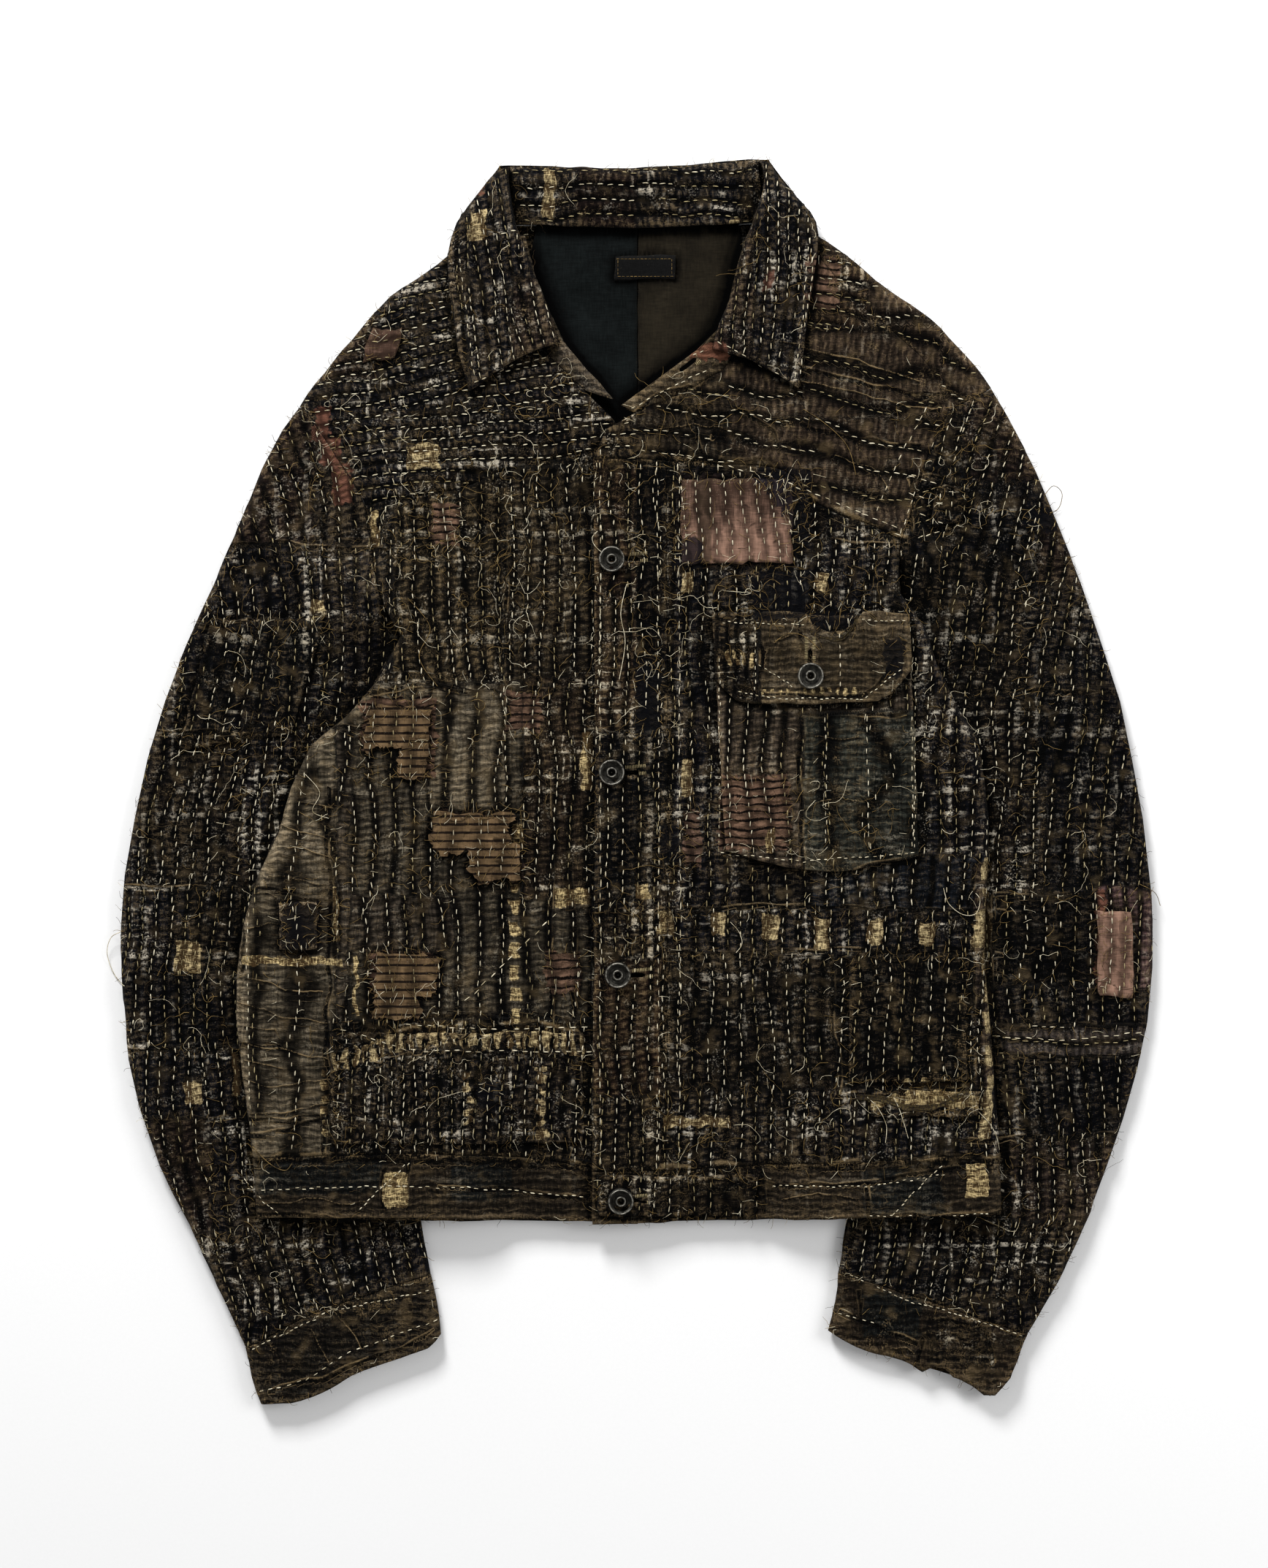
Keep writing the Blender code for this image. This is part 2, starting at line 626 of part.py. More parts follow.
def ring_of(rows, columns):
    """The border of a grid as (row, column) pairs, once round."""
    return ([(0, c) for c in range(columns - 1)] + [(r, columns - 1) for r in range(rows - 1)]
            + [(rows - 1, c) for c in range(columns - 1, 0, -1)] + [(r, 0) for r in range(rows - 1, 0, -1)])


def full_face(grid, points, faces, stray=0.0):
    rows, columns = grid.shape[:2]
    place = {(r, c): len(points) + r * columns + c for r in range(rows) for c in range(columns)}
    points.extend(tuple(p) for p in grid.reshape(-1, 3))
    for r in range(rows - 1):
        for c in range(columns - 1):
            faces.append((place[r, c], place[r, c + 1], place[r + 1, c + 1], place[r + 1, c]))
    return place


def plain_face(grid, points, faces, stray):
    """A face with every point of its border, but only the inner rows and columns that it needs."""
    rows, columns = grid.shape[:2]
    if min(rows, columns) < 4:
        return full_face(grid, points, faces)
    keep_rows = kept_lines(grid, stray)
    keep_columns = kept_lines(grid.swapaxes(0, 1), stray)
    place = {}
    for spot in ring_of(rows, columns) + [(r, c) for r in keep_rows for c in keep_columns]:
        place[spot] = len(points)
        points.append(tuple(grid[spot]))
    for r, r_next in zip(keep_rows, keep_rows[1:]):
        for c, c_next in zip(keep_columns, keep_columns[1:]):
            corners = [(r, c), (r, c_next), (r_next, c_next), (r_next, c)]
            middle = grid[(r + r_next) // 2, (c + c_next) // 2, 2]
            sums = [abs(grid[corners[k]][2] + grid[corners[k + 2]][2] - 2 * middle) for k in (0, 1)]
            first = 0 if sums[0] < sums[1] else 1
            a, b, c1, d = [place[corner] for corner in corners[first:] + corners[:first]]
            faces += [(a, b, c1), (a, c1, d)]

    def strip(border, inner, kept, count):
        """Joins one side of the border to the nearest inner row."""
        for k in range(kept[0]):
            faces.append((border(k), border(k + 1), inner(kept[0])))
        for k in range(kept[-1], count - 1):
            faces.append((border(k), border(k + 1), inner(kept[-1])))
        for low, high in zip(kept, kept[1:]):
            middle = (low + high) // 2
            for k in range(low, high):
                faces.append((border(k), border(k + 1), inner(low if k < middle else high)))
            faces.append((border(middle), inner(high), inner(low)))

    strip(lambda k: place[0, k], lambda k: place[keep_rows[0], k], keep_columns, columns)
    strip(lambda k: place[rows - 1, k], lambda k: place[keep_rows[-1], k], keep_columns, columns)
    strip(lambda k: place[k, 0], lambda k: place[k, keep_columns[0]], keep_rows, rows)
    strip(lambda k: place[k, columns - 1], lambda k: place[k, keep_columns[-1]], keep_rows, rows)
    return place


def shell(outer, inner, plain=False, stray=PLAIN_FACE):
    """Points and faces of a closed wall: a full or plain outer face, a plain inner face and the edges between."""
    points, faces = [], []
    over = (plain_face if plain else full_face)(outer, points, faces, PLAIN_UNDER)
    below = plain_face(inner, points, faces, stray)
    ring = ring_of(*outer.shape[:2])
    for here, after in zip(ring, ring[1:] + ring[:1]):
        # Two neighbours split the faces of their seam the same way, so that these never cross
        key_here, key_after = (outer[spot][:2] @ SPLIT_WAY for spot in (here, after))
        first, second = (here, after) if key_here < key_after else (after, here)
        faces.append((over[first], over[second], below[second]))
        faces.append((over[first], below[second], below[first]))
    return points, faces


COLLECTION = "patched_boro_jacket"


def clear_scene():
    for old in list(bpy.data.objects):
        bpy.data.objects.remove(old)
    for name in (COLLECTION, "cutters"):
        group = bpy.data.collections.new(name)
        bpy.context.scene.collection.children.link(group)


def finish(name):
    """The Principled material of this name, made on first use."""
    material = bpy.data.materials.get(name)
    if material:
        return material
    colour, roughness, metallic = FINISHES[name]
    material = bpy.data.materials.new(name)
    material.use_nodes = True
    shader = material.node_tree.nodes["Principled BSDF"]
    shader.inputs["Base Color"].default_value = (*colour, 1)
    shader.inputs["Roughness"].default_value = roughness
    shader.inputs["Metallic"].default_value = metallic
    material.diffuse_color = (*colour, 1)
    return material


def add_mesh(name, points, faces, material, group=COLLECTION):
    """One object from points in millimetres, its faces turned outwards."""
    mesh = bpy.data.meshes.new(name)
    mesh.from_pydata([(x * MM, y * MM, z * MM) for x, y, z in points], [], faces)
    work = bmesh.new()
    work.from_mesh(mesh)
    bmesh.ops.recalc_face_normals(work, faces=work.faces)
    bmesh.ops.triangulate(work, faces=work.faces)
    work.to_mesh(mesh)
    work.free()
    mesh.shade_smooth()
    mesh.set_sharp_from_angle(angle=math.radians(50))
    item = bpy.data.objects.new(name, mesh)
    bpy.data.collections[group].objects.link(item)
    item.data.materials.append(finish(material))
    return item


def cloth(name, material, bottom, right, top, left, level, middle, folds=None, under=False, quilt="none",
          wall=WALL, relief=None, clear=GAP / 2, stray=PLAIN_FACE):
    """A sheet of cloth between four edges. An under sheet has its outer face below."""
    plan = patch_grid(*inset(bottom, right, top, left, clear))
    x, y = plan[..., 0], plan[..., 1]
    height = level(x, y)
    face = -1 if under else 1
    normals = face * slope_normals(plan, level)
    target = middle(x, y) + face * GAP / 2
    height, normals, stay = turn_edges(plan, height, normals, target, folds or {})
    skin = np.dstack([plan, height])
    inner = skin - wall * normals
    if folds:
        inner[..., 2] = face * np.maximum(face * inner[..., 2], face * target)
    raised = QUILT * quilting(height.shape, quilt) * (stay > UNTURNED)
    if relief is not None:
        raised = raised * relief(x, y)
    outer = skin.copy()
    outer[..., 2] += face * raised
    return add_mesh(name, *shell(outer, inner, under, stray), material)


# Pieces


def side_folds(side, count=None):
    """Fold weights up one side of the body: a folded edge below and a plain armhole seam above."""
    folded = SEAMS[side + "_side"][1] if count is None else count
    return np.concatenate([np.ones(folded), np.linspace(1, 0, SEAMS[side + "_armhole_front"][1] + 1)])


def visible_right(x, y):
    """Quilting of the right front fades out where the left front covers it."""
    return 1 - smooth_step(*COVERED, x)


def body_edge(side, count=None):
    return join(back(seam(side + "_side", count)), back(seam(side + "_armhole_front")))


def make_fronts():
    cloth("right_front", "grey_olive", seam("right_waist_seam"), back(seam("right_front_edge")),
          seam("right_yoke_seam"), body_edge("right"), right_level, body_middle, {"left": side_folds("right")},
          quilt="columns", relief=visible_right)
    cloth("left_front", "indigo", seam("left_waist_seam"), body_edge("left"), seam("left_yoke_seam"),
          back(seam("placket_seam")), left_level, body_middle, {"right": side_folds("left")}, quilt="columns")
    cloth("placket", "brown_black", seam("left_waist_seam_placket"), back(seam("placket_seam")),
          seam("left_yoke_seam_placket"), back(seam("placket_edge")), left_level, body_middle, quilt="columns",
          stray=PLAIN_CLOSE)


def make_yokes():
    cloth("right_front_yoke", "indigo", seam("right_yoke_seam"), back(seam("right_neck")),
          seam("right_shoulder"), back(seam("right_armhole_yoke")), right_level, body_middle, {"top": 1},
          quilt="rows", relief=visible_right)
    low = join(seam("left_yoke_seam_placket"), seam("left_yoke_seam"))
    cloth("left_front_yoke", "olive", low, back(seam("left_armhole_yoke")), seam("left_shoulder_seam"),
          back(seam("left_neck")), left_level, body_middle, quilt="rows", stray=PLAIN_CLOSE)


def make_waistband():
    cloth("right_waistband", "olive", seam("right_hem"), back(seam("right_waist_front")),
          seam("right_waist_seam"), back(seam("right_waist_end")), right_level, body_middle, {"left": 1},
          quilt="rows", relief=visible_right)
    high = join(seam("left_waist_seam_placket"), seam("left_waist_seam"))
    cloth("left_waistband", "olive", seam("left_hem"), back(seam("left_waist_end")), high,
          back(seam("left_waist_front")), left_level, body_middle, {"right": 1}, quilt="rows",
          stray=PLAIN_CLOSE)


# Where the back's columns lie: close together on the ramps beside the sleeves
BACK_COLUMNS = [-253, -205, -160, -143, -131, -119, -107, -95, -50, 0, 50, 90, 102, 114, 126, 138, 156, 200, 238]


def back_line(points, width_low, width_high):
    """A line across the back, with a point for each of its columns and the steps of its two folded ends."""
    line = smooth_line(points)
    length = lengths_along(line)[-1]
    share = (np.array(BACK_COLUMNS[1:-1]) - BACK_COLUMNS[0]) / (BACK_COLUMNS[-1] - BACK_COLUMNS[0])
    near = [FOLD * step for step in FOLD_STEPS]
    inner = width_low + share * (length - width_low - width_high)
    places = near + [place for place in inner if FOLD < place < length - FOLD]
    return at_lengths(line, np.array(places + [length - place for place in reversed(near)]))


def make_back():
    waist = back_line([(-253, -246), (-150, -244), (0, -250), (172, -247), (238, -244)], 0, 0)
    hem = back_line([(-250, -285), (0, -289), (239, -283)], 0, 0)
    yoke_low = back_line([(-179, 183), (0, 192), (173, 159)], 0, 0)
    both = {"left": side_folds("right", 8), "right": side_folds("left", 10)}
    cloth("back_panel", "indigo", waist, body_edge("left", 10), yoke_low, body_edge("right", 8), back_level,
          body_middle, both, under=True)
    cloth("back_waistband", "olive", hem, back(seam("left_waist_end", 2)), waist, back(seam("right_waist_end", 2)),
          back_level, body_middle, {"left": 1, "right": 1}, under=True)
    neck_pieces = 6
    shoulder_pieces = (len(yoke_low) - 1 - neck_pieces) // 2
    neck = freehand(NECK_LINE, neck_pieces)
    top = join(seam("right_shoulder", shoulder_pieces), neck, seam("left_shoulder_fold", shoulder_pieces))
    arm = join(back(seam("left_armhole_yoke")), back(seam("left_armhole_top")))
    right_arm = back(seam("right_armhole_yoke", SEAMS["left_armhole_yoke"][1] + SEAMS["left_armhole_top"][1]))
    shoulder_fold = np.ones(shoulder_pieces)
    shoulder_folds = np.concatenate([shoulder_fold, [0.5], np.zeros(neck_pieces - 1), [0.5], shoulder_fold])
    cloth("back_yoke", "indigo", yoke_low, arm, top, right_arm, back_level,
          body_middle, {"top": shoulder_folds}, under=True)
    fold_line = seam("left_shoulder_fold")[4:]
    seam_line = seam("left_shoulder_seam")[4:]
    cloth("back_yoke_wrap", "brown_black", back(seam("left_armhole_top")), back(fold_line),
          freehand([seam_line[0], fold_line[0]], 4, "end"), back(seam_line), right_level, body_middle,
          {"right": 1}, quilt="columns")


def make_sleeve(side, table, material):
    edges = back(sections(table, SLEEVE_ROWS))
    outer, inner = edges[:, :2], edges[:, 2:]
    low = seam(side + "_cuff_seam")
    if side == "right":
        arm = join(seam("right_armhole_yoke"), seam("right_armhole_front"), seam("right_armhole_under"))
        left, right = outer, inner
    else:
        arm = join(back(seam("left_armhole_under")), back(seam("left_armhole_front")),
                   back(seam("left_armhole_yoke")), back(seam("left_armhole_top")))
        left, right = inner, outer
    folds = {"left": 1, "right": 1}
    cloth(side + "_sleeve_upper", material, low, right, arm, left, sleeve_level, sleeve_middle, folds,
          quilt="columns", relief=bare, clear=SLEEVE_INSET)
    cloth(side + "_sleeve_under", material, low, right[::2], arm, left[::2], table_level, sleeve_middle,
          folds, under=True, clear=UNDER_INSET)


def make_cuff(side, material):
    low = seam(side + "_cuff_hem")
    under_low = seam(side + "_cuff_hem_under") if side == "left" else low
    high = seam(side + "_cuff_seam")
    outer, inner = back(seam(side + "_cuff_outer")), back(seam(side + "_cuff_inner"))
    left, right = (outer, inner) if side == "right" else (inner, outer)
    folds = {"left": 1, "right": 1}
    cloth(side + "_cuff_upper", material, low, right, high, left, sleeve_level, sleeve_middle, folds, quilt="rows")
    cloth(side + "_cuff_under", material, under_low, right, high, left, table_level, sleeve_middle, folds,
          under=True)


def collar_middle(x, y):
    return np.full(np.shape(x), COLLAR_MID)


def grid_normals(points):
    """Unit normals of a grid of points, pointing up."""
    along = np.gradient(points, axis=1)
    across = np.gradient(points, axis=0)
    normals = np.cross(along, across)
    return normals / np.linalg.norm(normals, axis=-1, keepdims=True)


def raised_cloth(name, material, plan, height, middle, folds, quilt, wall=WALL):
    """A sheet whose heights are given point by point, with its outer face on top."""
    normals = grid_normals(np.dstack([plan, height]))
    height, normals, stay = turn_edges(plan, height, normals, middle + GAP / 2, folds)
    skin = np.dstack([plan, height])
    inner = skin - wall * normals
    outer = skin.copy()
    outer[..., 2] += QUILT * quilting(height.shape, quilt) * (stay > UNTURNED)
    return add_mesh(name, *shell(outer, inner), material)


def make_leaf(side, table, level, material):
    """A side of the collar: it rolls over the stand and lies on the yoke, or round the shoulder behind."""
    rows = back(sections(table, LEAF_ROWS))
    roll, roll_height, edge, folded = rows[:, :2], rows[:, 2], rows[:, 3:5], rows[:, 5]
    tip = freehand([edge[0], 0.5 * (edge[0] + roll[0]) + np.array((0, LEAF_TIP)), roll[0]], LEAF_COLUMNS, "end")
    high = freehand([edge[-1], roll[-1]], LEAF_COLUMNS)
    if side == "right":
        grid = patch_grid(*inset(tip, roll, high, edge, GAP / 2))
    else:
        grid = patch_grid(*inset(back(tip), edge, back(high), roll, GAP / 2))[:, ::-1]
    x, y = grid[..., 0], grid[..., 1]
    lying = level(x, y) + QUILT + 2 * GAP + WALL
    behind = np.clip(folded, 0, 1)[:, None]
    rest = (1 - behind) * lying + behind * 2 * COLLAR_MID
    across = np.linspace(1, 0, grid.shape[1])[None, :]
    height = rest + np.maximum(0, roll_height[:, None] - rest) * (1 - smooth_step(0, 1, across))
    roll_side, edge_side = ("right", "left") if side == "right" else ("left", "right")
    under_roll = height - (height - COLLAR_MID) * behind
    middle = np.where(across > 0.5, under_roll, height - LEAF_ROLL)
    if side == "left":
        grid, height, middle = grid[:, ::-1], height[:, ::-1], middle[:, ::-1]
    folds = {roll_side: 1, edge_side: np.clip(folded, 0, 1)}
    raised_cloth("leaf_" + side, material, grid, height, middle, folds, "columns")


def make_stand(side, table, level, first, last, material):
    """A side of the collar stand: from the neck seam up to its free edge, under the leaf's roll."""
    seam_line = back(seam(side + "_neck"))[first:last + 1]
    count = len(seam_line) - 1
    line = smooth_line(table)
    free = at_lengths(line, np.linspace(0, lengths_along(line)[-1], count + 1))
    free_plan, free_height = free[:, :2], free[:, 2]
    if side == "right":
        left, right = seam_line, free_plan
    else:
        left, right = free_plan, seam_line
    plan = patch_grid(*inset(freehand([left[0], right[0]], 4), right, freehand([left[-1], right[-1]], 4), left,
                             GAP / 2))
    x, y = plan[..., 0], plan[..., 1]
    across = np.linspace(0, 1, plan.shape[1])[None, :]
    if side == "left":
        across = across[:, ::-1]
    height = level(x, y) * (1 - across) + free_height[:, None] * across
    raised_cloth("stand_" + side, material, plan, height, height, {}, "none")


def make_collar():
    make_leaf("right", RIGHT_LEAF, right_level, "indigo")
    make_leaf("left", LEFT_LEAF, left_level, "indigo")
    make_stand("right", RIGHT_STAND, right_level, 2, 7, "indigo")
    make_stand("left", LEFT_STAND, left_level, 2, 9, "ochre")
    left = freehand([NECK_LINE[0], ROLL_LINE[0]], 6)
    right = freehand([NECK_LINE[-1], ROLL_LINE[-1]], 6)

    def band_level(x, y):
        return BAND_LOW + (BAND_HIGH - BAND_LOW) * smooth_step(*BAND_RISE, y)

    cloth("stand_back", "striped_brown", freehand(NECK_LINE, 16), band_rows(right), freehand(ROLL_LINE, 16),
          band_rows(left), band_level, collar_middle, {"top": 1}, quilt="rows")
    behind_right = freehand(BEHIND_RIGHT, 5, "end")
    behind_left = freehand(BEHIND_LEFT, 5, "end")
    right_part = smooth_line(SEAMS["right_shoulder"][0])
    right_part = right_part[right_part[:, 0] >= BEHIND_REACH[0]]
    left_part = smooth_line(SEAMS["left_shoulder_fold"][0])
    left_part = left_part[left_part[:, 0] <= BEHIND_REACH[1]]
    nape = join(right_part, smooth_line(NECK_LINE), left_part)
    crown = freehand(CROWN_LINE, 18, "both")
    low_line = at_lengths(nape, spread(lengths_along(nape)[-1], 18, "both"))
    cloth("leaf_back", "indigo", low_line, behind_left, crown, behind_right, table_level, collar_middle,
          {"top": 1, "left": np.array(BEHIND_TURN), "right": np.array(BEHIND_TURN)}, under=True,
          clear=BEHIND_INSET)


def band_rows(line):
    """The same line, with its points close together at the folded upper end."""
    return at_lengths(line, spread(lengths_along(line)[-1], 6, "end"))


def make_lining():
    lift_off = WALL + GAP + LINING_WALL

    def lining_level(x, y):
        return lift_off + sum(ridge(x, y, row) for row in LINING_CREASES)

    middle = [(-LINING_SEAM_HALF, y) for y in LINING_SEAM]
    cloth("lining_right", "lining_dark", freehand([LINING_RIGHT[0], middle[0]], 6), freehand(middle, 10),
          freehand([LINING_RIGHT[-1], middle[-1]], 6), freehand(LINING_RIGHT, 10), lining_level, lining_level,
          wall=LINING_WALL)
    middle = [(LINING_SEAM_HALF, y) for y in LINING_SEAM]
    cloth("lining_left", "lining_brown", freehand([middle[0], LINING_LEFT[0]], 6), freehand(LINING_LEFT, 10),
          freehand([middle[-1], LINING_LEFT[-1]], 6), freehand(middle, 10), lining_level, lining_level,
          wall=LINING_WALL)

    def label_level(x, y):
        return lining_level(x, y) + GAP + LABEL_WALL + LABEL_LIFT

    low_right, low_left, high_left, high_right = LABEL_BOX
    cloth("neck_label", "label_black", freehand([low_right, low_left], 4), freehand([low_left, high_left], 2),
          freehand([high_right, high_left], 4), freehand([low_right, high_right], 2), label_level, label_level,
          wall=LABEL_WALL)


# Things that lie on a panel


def tree_of(name):
    """A search tree of one object's faces, in millimetres."""
    mesh = bpy.data.objects[name].data
    points = [tuple(v.co / MM) for v in mesh.vertices]
    return BVHTree.FromPolygons(points, [tuple(p.vertices) for p in mesh.polygons])


def top_of(trees, x, y, floor=0.0):
    """Height of the highest face under this place."""
    highest = floor
    for tree in trees:
        hit = tree.ray_cast((x, y, ABOVE_ALL), (0, 0, -1))[0]
        if hit is not None:
            highest = max(highest, hit.z)
    return highest


def height_map(trees, plan):
    """Heights of what lies below a sheet, on a 1 mm grid, each one the highest within a millimetre."""
    low = np.floor(plan.reshape(-1, 2).min(axis=0)) - 2
    high = np.ceil(plan.reshape(-1, 2).max(axis=0)) + 2
    xs, ys = np.arange(low[0], high[0] + 1), np.arange(low[1], high[1] + 1)
    heights = np.array([[top_of(trees, x, y) for x in xs] for y in ys])
    padded = np.pad(heights, 1, mode="edge")
    around = [padded[r:r + len(ys), c:c + len(xs)] for r in range(3) for c in range(3)]
    return low, np.max(around, axis=0)


def lay_on(trees, plan, gap=GAP):
    """Heights of a sheet's lower face, so that each cell of it just clears what lies below."""
    corner, heights = height_map(trees, plan)
    a, b = [part.ravel() for part in np.meshgrid(np.linspace(0, 1, LAY_STEPS), np.linspace(0, 1, LAY_STEPS))]
    # Each cell may be split along either diagonal, so both ways are tested
    split_up = np.where(b > a, np.stack([1 - b, b - a, a, 0 * a]), np.stack([1 - a, 0 * a, b, a - b]))
    split_down = np.where(a + b < 1, np.stack([1 - a - b, b, 0 * a, a]), np.stack([0 * a, 1 - a, a + b - 1, 1 - b]))
    blend = np.hstack([split_up, split_down])
    cells = [[(r, c), (r, c + 1), (r + 1, c + 1), (r + 1, c)]
             for r in range(plan.shape[0] - 1) for c in range(plan.shape[1] - 1)]

    def below(spots):
        column, row = np.rint(spots - corner).astype(int).T
        return heights[row, column]

    low = below(plan.reshape(-1, 2)).reshape(plan.shape[:2]) + gap
    for turn in range(LAY_ROUNDS):
        least = 1.0 if turn == LAY_ROUNDS - 1 else LAY_EASE
        need = np.zeros_like(low)
        for cell in cells:
            spots = blend.T @ np.array([plan[k] for k in cell])
            z = np.array([low[k] for k in cell])
            short = below(spots) + gap - blend.T @ z
            for k, share in zip(cell, blend):
                need[k] = max(need[k], (short * (share > LAY_NEAR)).max(), least * short.max())
        low = low + need
        if need.max() < LAY_DONE:
            break
    return low


def applied(name, material, bottom, right, top, left, below, wall, quilt="none"):
    """A flat piece sewn on a panel: its lower face follows what is below, and its upper face is raised."""
    plan = patch_grid(bottom, right, top, left)
    low = lay_on([tree_of(panel) for panel in below], plan)
    inner = np.dstack([plan, low])
    outer = np.dstack([plan, low + wall + APPLIED_QUILT * QUILT * quilting(low.shape, quilt)])
    return add_mesh(name, *shell(outer, inner, stray=LAY_STRAY), material)


def make_pocket():
    applied("chest_pocket", "grey_olive", freehand(POCKET["bottom"], 10), freehand(POCKET["right"], 8),
            freehand(POCKET["top"], 10), freehand(POCKET["left"], 8), ["left_front"], POCKET_WALL, "columns")
    applied("pocket_flap", "olive", freehand(FLAP["bottom"], 14), freehand(FLAP["right"], 4),
            freehand(FLAP["top"], 14), freehand(FLAP["left"], 4), ["left_front", "chest_pocket"], POCKET_WALL, "rows")


def make_patches():
    for name, (x0, y0, x1, y1, lean, below, fabric) in PATCHES.items():
        across = max(3, round((x1 - x0) / PATCH_CELL[0]))
        down = max(2, round((y1 - y0) / PATCH_CELL[1]))
        low_left, low_right = (x0, y0), (x1, y0 + lean / 2)
        high_left, high_right = (x0 + lean, y1), (x1 + lean, y1)
        applied(name, fabric, freehand([low_left, low_right], across), freehand([low_right, high_right], down),
                freehand([high_left, high_right], across), freehand([low_left, high_left], down), [below],
                PATCH_WALL)


def cut(name, tool):
    """Cuts one object with a cutter and keeps the result as its mesh."""
    target = bpy.data.objects[name]
    modifier = target.modifiers.new("slot", "BOOLEAN")
    modifier.operation = "DIFFERENCE"
    modifier.object = tool


def slot_cutter(name, start, end, low, high):
    """A flat-sided slot with pointed ends, through the whole wall."""
    start, end = np.array(start, float), np.array(end, float)
    along = (end - start) / np.linalg.norm(end - start)
    side = np.array((-along[1], along[0])) * SLOT_WIDTH / 2
    outline = [start - along, start + side, end - along * 2 + side, end, end - along * 2 - side, start - side]
    points = [(x, y, low) for x, y in outline] + [(x, y, high) for x, y in outline]
    count = len(outline)
    faces = [tuple(range(count)), tuple(range(count, 2 * count))]
    for k in range(count):
        after = (k + 1) % count
        faces.append((k, after, count + after, count + k))
    tool = add_mesh(name, points, faces, "label_black", "cutters")
    tool.hide_render = True
    tool.display_type = "WIRE"
    return tool


def button_mesh(name, shank):
    """Half a section of a donut button with its post and shank, turned round the upright axis."""
    r, h = BUTTON_RADIUS, BUTTON_HEIGHT
    profile = [(out * r, up * h) for out, up in BUTTON_SECTION]
    profile += [(SHANK_RADIUS, 0), (SHANK_RADIUS, -shank), (0, -shank)]
    mesh = bpy.data.meshes.new(name)
    points = [(x * MM, 0, z * MM) for x, z in profile]
    mesh.from_pydata(points, [(k, k + 1) for k in range(len(points) - 1)], [])
    item = bpy.data.objects.new(name, mesh)
    bpy.data.collections[COLLECTION].objects.link(item)
    turn = item.modifiers.new("turn", "SCREW")
    turn.steps = BUTTON_SIDES
    turn.render_steps = BUTTON_SIDES
    turn.use_merge_vertices = True
    turn.merge_threshold = BUTTON_WELD
    item.data.materials.append(finish("worn_metal"))
    return item


def make_buttons():
    for name, (x, y, above, below, slot_from, slot_to, lean) in BUTTONS.items():
        seat_tree, below_tree = tree_of(above), tree_of(below)
        trees = [seat_tree]
        if name == "button_4":
            trees.append(tree_of("patch_waist"))
        ring = [(x + BUTTON_RADIUS * math.cos(a) * share, y + BUTTON_RADIUS * math.sin(a) * share)
                for a in np.linspace(0, 2 * math.pi, BUTTON_SIDES, endpoint=False) for share in (0.5, 1.0)]
        slope = BUTTON_RADIUS * math.sin(math.radians(lean))
        seat = max(top_of(trees, px, py) for px, py in ring) + GAP + slope
        below_top = max(top_of([below_tree], x + dx, y + dy) for dx in SHANK_PROBE for dy in SHANK_PROBE)
        item = button_mesh(name, seat - below_top - GAP)
        item.location = (x * MM, y * MM, seat * MM)
        item.rotation_euler = (math.radians(lean), 0, 0)
        tool = slot_cutter(name + "_slot", slot_from, slot_to, below_top + SLOT_START, seat + CUTTER_REACH)
        cut(above, tool)
        if name == "button_4":
            cut("patch_waist", tool)
    tree = tree_of("stand_left")
    top = top_of([tree], *STAND_SLOT[0])
    cut("stand_left", slot_cutter("stand_slot", *STAND_SLOT, top - CUTTER_REACH, top + CUTTER_REACH))


def recentre():
    """Moves everything so that the jacket's box stands on the origin, centred in X and Y."""
    bpy.context.view_layer.update()
    graph = bpy.context.evaluated_depsgraph_get()
    corners = []
    for item in bpy.data.collections[COLLECTION].objects:
        ready = item.evaluated_get(graph)
        mesh = ready.to_mesh()
        corners += [ready.matrix_world @ v.co for v in mesh.vertices]
        ready.to_mesh_clear()
    low = [min(c[k] for c in corners) for k in range(3)]
    high = [max(c[k] for c in corners) for k in range(3)]
    shift = ((low[0] + high[0]) / 2, (low[1] + high[1]) / 2, low[2])
    for item in bpy.data.objects:
        item.location = [item.location[k] - shift[k] for k in range(3)]
    print("moved by, mm", [round(-part / MM, 3) for part in shift])


def main():
    clear_scene()
    make_back()
    make_sleeve("right", RIGHT_SLEEVE, "indigo")
    make_sleeve("left", LEFT_SLEEVE, "indigo")
    make_cuff("right", "olive")
    make_cuff("left", "olive")
    make_fronts()
    make_yokes()
    make_waistband()
    make_lining()
    make_collar()
    make_pocket()
    make_patches()
    make_buttons()
    recentre()


main()
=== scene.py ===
# %% [markdown]
# # A patched boro jacket, laid flat
# Boro is cloth that has been mended so often that the mends have become the cloth: scraps of indigo,
# brown and olive cotton are laid over each other and held by rows of running stitch. This file dresses
# the jacket's solid model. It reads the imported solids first, because every skin, stitch and thread here
# is made from them and lies on them. Keeping the solids as they are means that size and shape stay true.

# %% Load the solid model
import json
import math
import bmesh
import bpy
import numpy as np
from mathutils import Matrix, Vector
from mathutils.bvhtree import BVHTree
from mathutils.kdtree import KDTree


